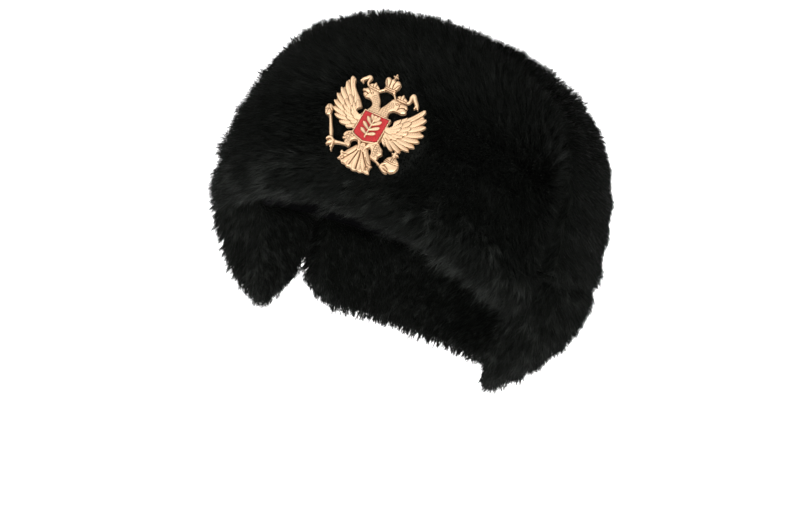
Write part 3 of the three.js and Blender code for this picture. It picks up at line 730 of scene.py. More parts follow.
def spline(rows, steps, closed):
    """Smooth path through rows of numbers, such as x and y, or x, y and width."""
    rows = np.array(rows, dtype=float)
    if closed:
        before, after, beyond = np.roll(rows, 1, 0), np.roll(rows, -1, 0), np.roll(rows, -2, 0)
        here = rows
    else:
        ends = np.vstack([2 * rows[0] - rows[1], rows, 2 * rows[-1] - rows[-2]])
        before, here, after, beyond = ends[:-3], ends[1:-2], ends[2:-1], ends[3:]
    path = []
    for share in np.arange(steps) / steps:
        path.append(0.5 * (
            2 * here
            + (after - before) * share
            + (2 * before - 5 * here + 4 * after - beyond) * share ** 2
            + (3 * here - before - 3 * after + beyond) * share ** 3
        ))
    path = np.stack(path, axis=1).reshape(-1, rows.shape[1])
    return path if closed else np.vstack([path, rows[-1]])


def line_distance(x, y, start, end):
    """How far each point lies from a straight line, and at which share of its length."""
    dx, dy = end[0] - start[0], end[1] - start[1]
    share = np.clip(((x - start[0]) * dx + (y - start[1]) * dy) / (dx * dx + dy * dy + 1e-12), 0, 1)
    return np.hypot(x - start[0] - share * dx, y - start[1] - share * dy), share


def outline_distance(x, y, outline):
    """How far inside a closed outline each point lies, and below 0 how far outside."""
    nearest = np.full(x.shape, 1e9)
    within = np.zeros(x.shape, dtype=bool)
    for (ax, ay), (bx, by) in zip(outline, np.roll(outline, -1, axis=0)):
        away, _ = line_distance(x, y, (ax, ay), (bx, by))
        nearest = np.minimum(nearest, away)
        if ay != by:
            within ^= ((ay > y) != (by > y)) & (x < ax + (y - ay) * (bx - ax) / (by - ay))
    return np.where(within, nearest, -nearest)


def rounded(share):
    """Height of a rounded edge: 0 at the edge, rising steeply at first, and 1 at its end."""
    return np.sqrt(1 - (1 - share) ** 2)


def averaged(values, weights, rounds):
    """Each value replaced by the mean round it, over the points that have a weight."""
    for _ in range(rounds):
        for axis in (0, 1):
            total = values * weights
            total = total + np.roll(total, 1, axis) + np.roll(total, -1, axis)
            count = weights + np.roll(weights, 1, axis) + np.roll(weights, -1, axis)
            values = total / np.maximum(count, 1)
    return values


class Relief:
    """Height of a casting over its back, and how far inside its outline each point lies."""

    def __init__(self):
        steps = np.arange(-RELIEF_REACH, RELIEF_REACH, RELIEF_PITCH)
        self.x, self.y = np.meshgrid(steps, steps, indexing="ij")
        self.inside = np.full(self.x.shape, -1.0)
        self.height = np.zeros(self.x.shape)

    def near(self, points, margin):
        """The part of the grid round some points."""
        points = np.asarray(points, dtype=float)[:, :2]
        low = ((points.min(axis=0) - margin + RELIEF_REACH) / RELIEF_PITCH).astype(int).clip(0)
        high = ((points.max(axis=0) + margin + RELIEF_REACH) / RELIEF_PITCH).astype(int) + 2
        return slice(low[0], high[0]), slice(low[1], high[1])

    def lay(self, part, inside, height, over=False):
        """Lays a form on the casting: it shows where it is the higher, or all over."""
        held = self.height[part]
        raised = height if over else np.maximum(held, height)
        self.height[part] = np.where(inside > 0, raised, held)
        self.inside[part] = np.maximum(self.inside[part], inside)

    def form(self, outline, base, dome, reach, over=False, steps=PATH_STEPS):
        """A form with a smooth outline, which rises from its edge inwards over a reach."""
        outline = spline(outline, steps, True)
        part = self.near(outline, EDGE_MARGIN)
        inside = outline_distance(self.x[part], self.y[part], outline)
        self.lay(part, inside, base + dome * rounded(np.clip(inside / reach, 0, 1)), over)

    def disc(self, x, y, radius, base, dome):
        part = self.near([(x - radius, y - radius), (x + radius, y + radius)], EDGE_MARGIN)
        away = np.hypot(self.x[part] - x, self.y[part] - y)
        self.lay(part, radius - away, base + dome * rounded(np.clip(1 - away / radius, 0, 1)))

    def bars(self, paths, base, dome):
        """Round bars along smooth paths, each of them through rows of x, y and width."""
        for rows in paths:
            path = spline(rows, PATH_STEPS, False)
            part = self.near(path, path[:, 2].max() / 2 + EDGE_MARGIN)
            x, y = self.x[part], self.y[part]
            inside = np.full(x.shape, -9.0)
            rise = np.zeros(x.shape)
            for start, end in zip(path, path[1:]):
                away, share = line_distance(x, y, start, end)
                half = (start[2] + (end[2] - start[2]) * share) / 2
                inside = np.maximum(inside, half - away)
                rise = np.maximum(rise, np.clip((half - away) / half, 0, 1))
            self.lay(part, inside, base + dome * rounded(rise))

    def grooves(self, paths, width, depth):
        """Engraved lines along smooth paths."""
        for points in paths:
            path = spline(points, PATH_STEPS, False)
            part = self.near(path, width * 3)
            away = np.full(self.x[part].shape, 9.0)
            for start, end in zip(path, path[1:]):
                away = np.minimum(away, line_distance(self.x[part], self.y[part], start, end)[0])
            self.height[part] -= depth * bell(away, 0, width)

    def feather(self, root, tip, width, base, dome, tilt, sharpness):
        """A blade with a quill and barbs, whose one edge lies over the next blade."""
        root, tip = np.array(root, dtype=float), np.array(tip, dtype=float)
        length = np.hypot(*(tip - root))
        axis = (tip - root) / length
        part = self.near([root, tip], width)
        x, y = self.x[part] - root[0], self.y[part] - root[1]
        along = (x * axis[0] + y * axis[1]) / length
        across = y * axis[0] - x * axis[1]
        blade = 0.4 + 0.6 * np.sin(np.clip(along / 0.75, 0, 1) * math.pi / 2)
        half = width / 2 * blade * (1 - np.clip((along - 0.66) / 0.34, 0, 1) ** 2) ** sharpness
        inside = np.minimum(half - np.abs(across), (1 - along) * length)
        inside = np.where(along < 0, -1.0, inside)
        share = np.clip(across / np.maximum(half, 1e-6), -1, 1)
        quill = QUILL_HEIGHT * bell(across, 0, QUILL_WIDTH) * np.clip(1.1 - along, 0, 1)
        barbs = BARB_HEIGHT * np.sin((along * length + np.abs(across) * 1.3) * 2 * math.pi / BARB_PITCH)
        height = base + dome * np.sqrt(1 - share ** 2 * 0.95) + tilt * share + quill
        self.lay(part, inside, height + barbs * (1 - share ** 2))

    def cut(self, outline):
        """An opening right through the casting."""
        outline = spline(outline, 4, True)
        part = self.near(outline, 1.0)
        inside = outline_distance(self.x[part], self.y[part], outline)
        self.inside[part] = np.minimum(self.inside[part], -inside)

    def plumes(self, outline, pitch, depth):
        """Small overlapping plumes, engraved over the inside of an outline."""
        outline = np.array(outline, dtype=float)
        part = self.near(outline, 0)
        x, y = self.x[part], self.y[part]
        inside = np.clip(outline_distance(x, y, outline) / 0.8, 0, 1)
        best = np.full(x.shape, 9.0)
        bend = 0.25 * np.sin(y * 2.1 + x * 0.7)
        for shift in (0.0, 0.5):
            across = x / pitch + bend + shift
            column = across - np.round(across)
            row = y / pitch / 1.6 + shift
            row = row - np.floor(row)
            best = np.minimum(best, np.hypot(column, row * 0.9))
        self.height[part] -= depth * bell(best, 0.5, 0.16) * inside

    def mesh(self, name, back, slant):
        """Closed mesh in metres, whose border is drawn onto the outline."""
        held = self.inside > 0
        used = held[:-1, :-1] | held[1:, :-1] | held[:-1, 1:] | held[1:, 1:]
        slope = np.stack(np.gradient(self.inside, RELIEF_PITCH))
        steep = np.maximum((slope ** 2).sum(axis=0), 0.3)
        shift = np.where(held, 0, -self.inside / steep) * slope
        shift = np.clip(shift, -1.1 * RELIEF_PITCH, 1.1 * RELIEF_PITCH)
        height = self.edged_height(held, back)

        corner = np.zeros(held.shape, dtype=bool)
        for i in (0, 1):
            for j in (0, 1):
                corner[i:i + used.shape[0], j:j + used.shape[1]] |= used
        count = int(corner.sum())
        number = np.full(held.shape, -1)
        number[corner] = np.arange(count)
        flat = np.stack([(self.x + shift[0])[corner], (self.y + shift[1])[corner]], axis=1)
        top = np.column_stack([flat @ slant.T, height[corner]])
        low = top.copy()
        low[:, 2] = back
        a, b = number[:-1, :-1], number[1:, :-1]
        c, d = number[1:, 1:], number[:-1, 1:]
        quads = [np.stack([a, b, c, d], axis=-1)[used], np.stack([a, d, c, b], axis=-1)[used] + count]
        framed = np.pad(used, 1)
        sides = (
            (framed[:-2, 1:-1], a, d),
            (framed[2:, 1:-1], c, b),
            (framed[1:-1, :-2], b, a),
            (framed[1:-1, 2:], d, c),
        )
        for beside, first, second in sides:
            border = used & ~beside
            first, second = first[border], second[border]
            quads.append(np.stack([first, second, second + count, first + count], axis=-1))
        mesh = bpy.data.meshes.new(name)
        mesh.from_pydata((np.vstack([top, low]) * MM).tolist(), [], np.vstack(quads).tolist())
        # Painted shade for the gilt: deep in the creases, and a fixed share on the back and past the
        # outline
        crease_shade = self.crease_shade(held, height)[corner]
        set_attribute(mesh, "crease_shade", "FLOAT", "value", np.concatenate([crease_shade, np.full(count, 0.3)]))
        mesh.shade_smooth()
        mesh.set_sharp_from_angle(angle=math.radians(48))
        return mesh

    def edged_height(self, held, back):
        """The height, carried past the outline a little lower than at the edge."""
        edge = self.height
        for axis in (0, 1):
            edge = np.maximum(edge, np.maximum(np.roll(edge, 1, axis), np.roll(edge, -1, axis)))
        return np.where(held, self.height, np.maximum(edge - 0.25, back + 0.2))

    def crease_shade(self, held, height):
        """Painted shade for the gilt, by how deep each point lies: 0 on the forms, 1 in the creases."""
        weights = held.astype(float)
        near = averaged(height, weights, rounds=5)
        wide = averaged(near, weights, rounds=16)
        depth = np.maximum((near - height) / 0.13, (wide - height - 0.05) / 0.5)
        return np.where(held, np.clip(depth, 0, 1), 0.35)


# Shield in the middle of the badge, as the solids have it
SHIELD_OUTLINE = [
    (-8.6, 4.7), (-8.6, -11.1), (-7.4, -12.3), (0, -14.3), (7.4, -12.3), (8.6, -11.1), (8.6, 4.7),
]
SHIELD_RIM = 0.68
SHIELD_RIM_TOP = 3.2
SHIELD_TRAY = 2.0

# Posts behind the badge, as the solids have them, and how far they reach into it
POST_X = 11
POST_RADIUS = 1
POST_LENGTH = 12
POST_SUNK = 0.4

# The eagle is drawn upright and larger than it is: this brings it to its size, leaning a little
EAGLE_SLANT = np.array([[0.917, -0.09], [-0.008, 0.93]])

# Wings: where the feathers start, the tips of the flight feathers from the highest one down, those
# of the two rows of coverts, and the arm
WING_ROOT = (8.3, -2.0)
LEFT_TIPS = [
    (-25.6, 22.0), (-28.2, 17.4), (-29.9, 12.2), (-30.9, 7.5), (-30.7, 2.6), (-29.6, -1.8),
    (-26.6, -5.8), (-21.8, -8.9), (-16.9, -10.0), (-12.2, -9.4),
]
RIGHT_TIPS = [
    (27.4, 20.8), (30.7, 15.4), (32.4, 10.9), (33.2, 5.2), (32.4, 0.2), (31.0, -4.4),
    (28.4, -8.0), (23.6, -11.4), (18.4, -12.6), (12.8, -11.2),
]
LONG_COVERTS = [
    (18.6, 11.6), (22.2, 9.6), (23.6, 6.0), (23.2, 2.2), (21.3, -1.2), (18.4, -4.0), (14.8, -5.8),
]
SHORT_COVERTS = [(15.6, 8.4), (17.8, 6.0), (18.0, 3.0), (16.6, 0.4), (14.2, -1.6)]
LEFT_ARM = [
    (-8.4, -7), (-8.4, 0.4), (-10.2, 0.6), (-12.5, 1), (-14, 2.1), (-13.6, 3.8), (-12.1, 5.1),
    (-11.9, 6.2), (-13.5, 8.4), (-15.9, 11), (-20.1, 14.8), (-22.3, 18), (-23.2, 21), (-24.4, 20.6),
    (-23.4, 16), (-20.4, 11), (-18, 6), (-16, 0), (-12, -6.6),
]
RIGHT_ARM = [
    (8.4, -7), (8.6, 0.4), (9.8, 0.3), (11.4, 0.7), (12.5, 2.2), (12.2, 4), (12.5, 5.8), (15.4, 8.2),
    (19.7, 11.9), (22.5, 15), (24.9, 18.2), (26.3, 20), (25.4, 16.4), (22.4, 11.6), (19, 7), (17, 0),
    (12.6, -6.6),
]

# Heads, crowns, legs and tail
LEFT_HEAD = [
    (-8.5, 3.5), (-7.4, 6.2), (-6.4, 8.4), (-6.6, 10.4), (-8.2, 12), (-10.2, 12.6), (-12.1, 12.3),
    (-13.7, 12.9), (-14.9, 14.1), (-14.6, 15.2), (-15.6, 15.5), (-16.2, 16.4), (-15.9, 17.5),
    (-14.6, 18), (-13.4, 18.9), (-10.5, 19.4), (-8.2, 19.2), (-5.8, 19.1), (-4.4, 17.2), (-2.3, 14.4),
    (-1.1, 10.9), (0, 9.2), (0, 3.5),
]
RIGHT_HEAD = [
    (0, 3.5), (0, 9.2), (2.1, 13), (3.8, 16.2), (5, 18.4), (6.4, 19.1), (9, 18.7), (12, 18.5),
    (15.2, 18.2), (16.2, 17), (16, 15.8), (15.7, 15.3), (16.7, 14.3), (16, 12.7), (13.6, 11.6),
    (11, 11.7), (8.6, 11.4), (6.8, 10.1), (6.3, 8.2), (6.9, 6.2), (8.5, 3.5),
]
LARGE_CROWN = [
    (-3.1, 22.2), (-3.2, 24.4), (-4.4, 26.4), (-4.9, 28.8), (-4.1, 30.6), (-2.4, 30.9), (-1.1, 30.3),
    (0.4, 31.2), (1.9, 30.3), (3.4, 30.9), (5, 30.5), (6, 28.7), (5.5, 26.4), (4.4, 24.4), (4.3, 22.2),
]
SMALL_CROWN = [
    (-3.1, -0.9), (-3.1, 0.4), (-3.4, 1.5), (-2.3, 2.5), (-1.2, 3.0), (0, 4.3), (1.2, 3.0), (2.3, 2.5),
    (3.4, 1.5), (3.1, 0.4), (3.1, -0.9),
]
LEFT_THIGH = [
    (-7, -10), (-9.6, -10.4), (-12.4, -11.6), (-14.6, -13.3), (-15.4, -15.7), (-14.4, -16.6),
    (-15.3, -17.8), (-13.2, -18.4), (-12.9, -19.8), (-11.4, -21), (-9.2, -21.4), (-8.4, -19.6),
    (-8.9, -18), (-8.2, -16.5), (-6.6, -15.7), (-4.9, -16.1), (-3.6, -17.8), (-2, -16), (-2, -11),
]
RIGHT_THIGH = [
    (2, -11), (2, -18.2), (2.9, -17.5), (4.2, -16.9), (5.6, -17.8), (6.5, -19.6), (6.6, -21.4),
    (7.6, -22.4), (9.6, -22.5), (11.7, -22), (12, -19.6), (12.8, -18.4), (13.6, -17.3), (13, -15.8),
    (12.3, -14.3), (10.2, -12.9), (8, -10.5), (6, -10),
]
TAIL = [
    (-3.2, -13), (-3.6, -18), (-4.3, -20.4), (-5.9, -22.8), (-8.2, -24.8), (-10.3, -25.6),
    (-11.9, -25), (-12.4, -26.6), (-11.5, -28.4), (-12.4, -31.2), (-10.6, -31.2), (-8.8, -32.8),
    (-6.8, -32.7), (-4.8, -33.8), (-2.7, -33.5), (-0.4, -34.4), (2, -33.6), (4.4, -33.8),
    (6.4, -32.8), (8.8, -32.9), (10.8, -32), (9.8, -29.4), (10.6, -26.6), (8.4, -26.7), (6.1, -25.4),
    (3.9, -22.8), (2.5, -20), (2.3, -17), (2.8, -13),
]
TAIL_ROOT = (-0.3, -14.5)
TAIL_TIPS = [
    (-10.9, -30.4), (-8, -32.4), (-4.7, -33.4), (-0.4, -34), (3.6, -33.4), (7.1, -32.3), (9.7, -30.6),
]

# Ribbons, in rows of x, y and width, and what the talons hold
LEFT_RIBBON = [
    (-12.2, 20.3, 1.5), (-13.8, 20.6, 1.6), (-14.8, 22, 1.8), (-14.7, 24, 1.9), (-14.4, 25.8, 2.2),
    (-15.6, 26.2, 2.2), (-17.2, 24.7, 2), (-18.8, 23.2, 2), (-20, 21.5, 1),
]
RIGHT_RIBBON = [
    (13.2, 20, 1.6), (15, 20.6, 1.9), (15.8, 22.4, 2.2), (15.7, 24.6, 2.8), (16.6, 26, 3.4),
    (18, 24.6, 3), (19.6, 22.8, 2.8), (21, 21.2, 2.6), (22.3, 19.3, 1.2),
]
ORB = (21.6, -21.0, 5.2)
SCEPTRE_KNOB = [
    (-33.8, -4.4), (-33.1, -1.6), (-31.4, -0.9), (-30, -1.3), (-29.1, -2.8), (-28.7, -6.2),
    (-29.6, -8), (-30.8, -8.3), (-32.3, -7.8), (-33.2, -6.3),
]

# Where small plumes are engraved: on the right neck, as on the left one, and on the thighs
NECK_PLUMES = [
    (0, 4), (8.8, 4), (6.4, 8), (6.4, 11), (8.8, 13), (8.4, 15.2), (6, 17.4), (3, 14.6), (0.4, 10),
]
LEFT_THIGH_PLUMES = [
    (-14.6, -15), (-12.6, -12.6), (-9.4, -11.4), (-6, -13), (-9, -16), (-9.6, -20.4), (-12.4, -20),
    (-14.2, -17.8),
]
RIGHT_THIGH_PLUMES = [
    (12.8, -16), (11, -13.6), (8, -12), (5, -15), (6.8, -18), (7.4, -21.8), (11, -21.6),
    (11.4, -18.6),
]


def carve_wing(relief, side, arm, tips, width, notch):
    """Wing: a plate that fills in between the feathers, the arm, and three rows of feathers."""
    root = np.array([WING_ROOT[0] * side, WING_ROOT[1]])
    plate = [root + (np.array(a) + np.array(b) - 2 * root) / 2 * notch for a, b in zip(tips, tips[1:])]
    relief.form([root + (0, 4)] + plate + [root - (0, 5)], base=1.3, dome=0.3, reach=2)
    relief.form(arm, base=1.7, dome=0.9, reach=2.2)
    for number, tip in enumerate(tips):
        relief.feather(
            root, tip, width=width - 0.16 * number, base=1.5, dome=0.5, tilt=-0.5 * side,
            sharpness=0.6 if number else 0.25,
        )
    for x, y in LONG_COVERTS:
        relief.feather(
            root, (x * side, y), width=4.6, base=2.05, dome=0.5, tilt=-0.42 * side, sharpness=0.4,
        )
    for x, y in SHORT_COVERTS:
        relief.feather(
            root, (x * side, y), width=3.8, base=2.5, dome=0.45, tilt=-0.38 * side, sharpness=0.4,
        )


def carve_head(relief, side, outline, eye, mouth, crest):
    """Head and neck, with the eye, the opening of the beak and small plumes."""
    relief.form(outline, base=1.8, dome=1.2, reach=2.6)
    x, y = eye
    ring = [(x - 0.9, y), (x, y + 0.8), (x + 0.9, y), (x, y - 0.7), (x - 0.9, y)]
    relief.grooves([ring], width=0.26, depth=0.5)
    relief.grooves([mouth], width=0.3, depth=1.0)
    relief.grooves([crest], width=0.25, depth=0.5)
    neck = [(x * side, y) for x, y in NECK_PLUMES]
    relief.plumes(neck, pitch=1.7, depth=0.24)


def carve_crowns(relief):
    """The large crown with its cross, the ribbon under it, and a small crown on each head."""
    relief.bars([[
        (-6.8, 19, 1.5), (-4.7, 20.7, 1.5), (-2.6, 22.2, 1.5), (0.5, 22.9, 1.5), (3.6, 22.2, 1.5),
        (5.2, 20.7, 1.5), (6.6, 19, 1.5),
    ]], base=1.4, dome=0.9)
    relief.form(LARGE_CROWN, base=1.9, dome=1.3, reach=1.6)
    relief.grooves([
        [(-3.2, 24.5), (0.6, 24), (4.4, 24.5)],
        [(-3.1, 23.2), (0.6, 22.8), (4.3, 23.2)],
        [(-1.2, 30.2), (-0.6, 27.4), (-0.7, 24.6)],
        [(2.3, 30.2), (1.8, 27.4), (1.9, 24.6)],
        [(-3.9, 28.6), (-3, 26.6), (-2.2, 25)],
        [(5.1, 28.6), (4.2, 26.6), (3.4, 25)],
    ], width=0.26, depth=0.6)
    relief.bars([[(0.5, 30.6, 1.3), (0.6, 32.4, 1), (0.8, 34.4, 1.2)]], base=1.6, dome=0.8)
    relief.bars([[(-0.7, 32.8, 1), (0.6, 32.8, 1), (1.9, 32.8, 1)]], base=1.6, dome=0.7)
    for x, y in ((-9.6, 20), (10.6, 19.8)):
        relief.form([(x + u, y + v) for u, v in SMALL_CROWN], base=1.9, dome=1, reach=1.2)
        relief.grooves([[(x - 3, y + 0.5), (x, y + 0.2), (x + 3, y + 0.5)]], width=0.24, depth=0.6)
        relief.grooves([
            [(x - 1.1, y + 2.8), (x - 0.9, y + 0.6)],
            [(x + 1.1, y + 2.8), (x + 0.9, y + 0.6)],
        ], width=0.22, depth=0.5)


def carve_legs(relief):
    """Feathered thighs and the shanks below them."""
    for outline, plumed in ((LEFT_THIGH, LEFT_THIGH_PLUMES), (RIGHT_THIGH, RIGHT_THIGH_PLUMES)):
        relief.form(outline, base=1.7, dome=1.1, reach=2.4)
        relief.plumes(plumed, pitch=2.0, depth=0.34)
    relief.bars([
        [(-9.4, -20.6, 1.9), (-12.5, -20.9, 1.7), (-16.5, -21.7, 1.9), (-19.4, -22.4, 2.8)],
        [(8.4, -21.9, 1.8), (11, -22.6, 1.5), (13.6, -23.6, 1.6), (16.4, -25.2, 2.2)],
    ], base=1.4, dome=0.8)


def carve_sceptre(relief):
    """Sceptre in the talons of one foot, with its large knob."""
    relief.bars([[
        (-28.9, -7.4, 1.7), (-26.4, -12, 2), (-23.6, -17.4, 2.5), (-20.9, -23, 1.8), (-18.6, -28.2, 1.1),
    ]], base=1.4, dome=0.8)
    relief.disc(-20.6, -23.2, 2.3, base=1.6, dome=1)
    relief.bars([
        [(-19.8, -22.0, 2), (-21.8, -20.8, 1.8), (-23.4, -21.4, 1.5), (-24.2, -22.8, 0.8)],
        [(-20.4, -23, 2), (-22.2, -24.4, 1.8), (-22.8, -26, 0.9)],
        [(-19.6, -23.4, 2), (-19.2, -25.2, 1.6), (-19.8, -26.6, 0.8)],
    ], base=2.0, dome=0.9)
    relief.form(SCEPTRE_KNOB, base=1.8, dome=1.2, reach=1.8)
    relief.grooves([[(-33.4, -5.4), (-31, -4.2), (-28.9, -4.9)]], width=0.3, depth=0.6)
    relief.grooves([[(-32.2, -1.6), (-31.2, -4.4), (-31.4, -7.6)]], width=0.25, depth=0.4)


def carve_orb(relief):
    """Orb in the talons of the other foot, with its bands and its cross."""
    x, y, radius = ORB
    relief.bars([
        [(x - 0.3, y + 4, 3.4), (x - 0.2, y + 6.2, 2.4), (x - 0.1, y + 8.4, 1.9)],
    ], base=1.5, dome=0.9)
    relief.bars([
        [(x - 1.9, y + 7.1, 1.3), (x, y + 7.2, 1.3), (x + 1.7, y + 7.1, 1.3)],
    ], base=1.5, dome=0.8)
    relief.disc(x, y, radius, base=1.6, dome=1.7)
    relief.grooves([
        [(x - 5, y + 1.2), (x, y + 0.2), (x + 5, y + 1.2)],
        [(x - 4.9, y + 2.4), (x, y + 1.4), (x + 4.9, y + 2.4)],
        [(x - 0.7, y + 5), (x - 0.6, y + 1.6)],
        [(x + 0.7, y + 5), (x + 0.6, y + 1.6)],
    ], width=0.24, depth=0.5)
    relief.bars([
        [(16.2, -25, 2), (18.6, -26.6, 1.8), (20.8, -27, 1)],
        [(16.6, -24.8, 2), (18.8, -24.6, 1.8), (20.8, -25.4, 0.9)],
        [(16.2, -24.6, 1.8), (17, -22.8, 1.5), (18.4, -21.8, 0.9)],
    ], base=2.6, dome=0.8)


def carve_tail(relief):
    """Tail feathers on their plate, with a curl on each side."""
    relief.form(TAIL, base=1.5, dome=0.5, reach=1.2)
    for number, tip in enumerate(TAIL_TIPS):
        tilt = 0.14 * (3 - number)
        relief.feather(TAIL_ROOT, tip, width=4.3, base=1.5, dome=0.8, tilt=tilt, sharpness=0.5)
    relief.grooves([
        [(-0.5, -20.5), (0.6, -25), (1.5, -32.5)],
        [(-2.6, -20.4), (-5, -24.6), (-8.6, -29.2)],
        [(1.2, -20.8), (4.6, -25.4), (8, -29.4)],
        [(-1.6, -21.5), (-2.6, -27), (-3.6, -31.5)],
    ], width=0.4, depth=0.8)
    for x, side in ((-9.6, -1), (8, 1)):
        curl = [(x - 1.1, -29.2), (x, -28.2), (x + 1.1, -29.4), (x, -30.8), (x - 0.9, -29.6)]
        relief.grooves([curl], width=0.28, depth=0.55)
        edge = [(side * 4.2, -23.4), (side * 7, -26.4), (side * 10.8, -26.8)]
        relief.grooves([edge], width=0.3, depth=0.5)
    relief.bars([
        [(-4.2, -15.2, 1.6), (-2.6, -18, 1.5), (-2.4, -20.6, 1)],
        [(3.4, -15.2, 1.6), (1.8, -18, 1.5), (1.4, -20.6, 1)],
    ], base=2.1, dome=0.7)


def carve_ribbons(relief):
    """Ribbons that fly from the small crowns, each with a short fold at its end."""
    relief.bars([LEFT_RIBBON], base=1.2, dome=0.9)
    relief.bars([[(-18.6, 23, 1.6), (-18.4, 21.6, 1.3), (-18.2, 20.8, 0.9)]], base=1.2, dome=0.8)
    relief.bars([RIGHT_RIBBON], base=1.2, dome=0.9)
    relief.bars([[(20.8, 21.6, 1.6), (20.5, 20, 1.3), (20.2, 18.8, 0.9)]], base=1.2, dome=0.8)


def carve_tray(relief):
    """The shield's raised rim and the tray in it, which holds the enamel."""
    outline = np.array(SHIELD_OUTLINE) @ np.linalg.inv(EAGLE_SLANT).T
    relief.form(outline, base=SHIELD_RIM_TOP - 0.3, dome=0.3, reach=0.3, over=True, steps=1)
    part = relief.near(outline, 0)
    sunk = outline_distance(relief.x[part], relief.y[part], outline) > SHIELD_RIM
    relief.height[part] = np.where(sunk, SHIELD_TRAY, relief.height[part])


def post_mesh():
    """The two posts that hold the badge, as the solids have them."""
    form = bmesh.new()
    for side in (-1, 1):
        place = Matrix.Translation((side * POST_X * MM, 0, (POST_SUNK - POST_LENGTH) / 2 * MM))
        bmesh.ops.create_cone(
            form, cap_ends=True, segments=20, radius1=POST_RADIUS * MM, radius2=POST_RADIUS * MM,
            depth=(POST_LENGTH + POST_SUNK) * MM, matrix=place,
        )
    mesh = bpy.data.meshes.new("badge_posts")
    form.to_mesh(mesh)
    form.free()
    return mesh


def eagle_piece():
    """The eagle with its posts. What is in front on it is carved after what it lies on."""
    relief = Relief()
    carve_wing(relief, -1, LEFT_ARM, LEFT_TIPS, width=6.2, notch=0.95)
    carve_wing(relief, 1, RIGHT_ARM, RIGHT_TIPS, width=5.8, notch=0.895)
    # The casting is open between the arms of the wings, where the heads and crowns then go
    over_arms = [(-24.4, 24), (0, 34), (26.4, 23)]
    under_heads = [(8.4, 6), (0, 3), (-8.4, 6)]
    relief.cut(LEFT_ARM[2:13] + over_arms + RIGHT_ARM[11:1:-1] + under_heads)
    body = [(-7.5, -13), (-7.5, 5), (7.5, 5), (7.5, -13)]
    relief.form(body, base=1.8, dome=0.2, reach=1)
    carve_tail(relief)
    carve_legs(relief)
    carve_sceptre(relief)
    carve_orb(relief)
    carve_head(
        relief, -1, LEFT_HEAD, eye=(-9.2, 16.6),
        mouth=[(-16.4, 15.3), (-14, 15.7), (-11.6, 15.2)],
        crest=[(-12.4, 18.4), (-10.6, 17.2), (-11.6, 15.2), (-12.6, 13.4)],
    )
    carve_head(
        relief, 1, RIGHT_HEAD, eye=(9, 16.4),
        mouth=[(16.4, 15.4), (13.4, 15.6), (11, 13.8)],
        crest=[(12, 18.2), (10.8, 17), (11.2, 15.4), (10.6, 12.6)],
    )
    carve_crowns(relief)
    carve_ribbons(relief)
    carve_tray(relief)
    mesh = relief.mesh("eagle_casting", 0.0, EAGLE_SLANT)
    form = bmesh.new()
    form.from_mesh(mesh)
    form.from_mesh(post_mesh())
    form.to_mesh(mesh)
    form.free()
    badge_piece(mesh, "eagle_casting", "badge_eagle")


# Ornament on the shield: its height over the badge's back, and its leaves from the lowest pair up,
# in rows of height on the stem, angle and length
CHARGE_BACK = 3.4
CHARGE_LEAVES = [(-9.4, 28, 5.6), (-6.4, 34, 6.6), (-3.2, 42, 6.4), (-0.4, 52, 4.6)]


def charge_piece():
    """Sprig on the shield: a stem with four pairs of leaves and a bud."""
    relief = Relief()
    relief.bars([[(0, -11.2, 0.9), (0, -4, 1.1), (0, 2, 0.9)]], base=CHARGE_BACK + 0.25, dome=0.4)
    for y, angle, length in CHARGE_LEAVES:
        for side in (-1, 1):
            reach = length * math.cos(math.radians(angle)) * side
            tip = (reach, y + length * math.sin(math.radians(angle)))
            relief.feather(
                (0, y), tip, width=2.3, base=CHARGE_BACK + 0.2, dome=0.45, tilt=0, sharpness=0.7,
            )
    relief.disc(0, 2.2, 1.2, base=CHARGE_BACK + 0.25, dome=0.45)
    mesh = relief.mesh("charge_casting", CHARGE_BACK, np.eye(2))
    badge_piece(mesh, "charge_casting", "badge_charge")


def badge_piece(mesh, name, node):
    mesh.transform(BADGE_FRAME)
    set_material(mesh, GILT)
    new_piece(name, mesh, node)


# Crown lining

LINING_GORES = 6
GORE_ANGLE = 2 * math.pi / LINING_GORES
SEAM_DEPTH = 0.0016
SEAM_WIDTH = 0.0035

# On the cloth's UV map: the distance between two gores, and the radius that their rise is taken at
GORE_SPACING = 0.2
GORE_RADIUS = 0.11


def lining_piece():
    """Padded crown wall seen from below: cloth gores with a sunk seam between each two."""
    mesh = soft_backing("crown_shell", voxel=0.0025, rounds=6)
    places, normals = mesh_arrays(mesh)
    azimuth = azimuth_of(places)
    from_seam = 0.5 - np.abs(np.mod(azimuth / GORE_ANGLE, 1) - 0.5)
    from_seam = from_seam * GORE_ANGLE * np.hypot(places[:, 0], places[:, 1])
    inner = outwardness(places, normals) < 0.2
    sink = SEAM_DEPTH * bell(from_seam, 0, SEAM_WIDTH) * inner
    move_points(mesh, places - normals * sink[:, None])
    lay_gores(mesh, azimuth)
    set_material(mesh, LINING)
    piece = new_piece("crown_lining", mesh, "crown_shell")


def lay_gores(mesh, azimuth):
    """Gives each gore of the lining its own flat cut, in metres, as a UV map."""
    chart = mesh.uv_layers.new(name="cloth")
    corners = np.empty(len(mesh.loops), dtype=np.int32)
    mesh.loops.foreach_get("vertex_index", corners)
    places, _ = mesh_arrays(mesh)
    middles = np.array([face.center[:] for face in mesh.polygons])
    gore = np.floor(azimuth_of(middles) / GORE_ANGLE)
    gore = np.repeat(gore, [face.loop_total for face in mesh.polygons])
    turn = azimuth[corners] - (gore + 0.5) * GORE_ANGLE
    turn = np.mod(turn + math.pi, 2 * math.pi) - math.pi
    level = np.hypot(places[:, 0], places[:, 1])
    rise = np.arctan2(places[:, 2], level)[corners]
    laid = np.stack([turn * level[corners] + gore * GORE_SPACING, rise * GORE_RADIUS], axis=1)
    chart.data.foreach_set("uv", laid.ravel())


# Studio

FLOOR_Z = -0.42


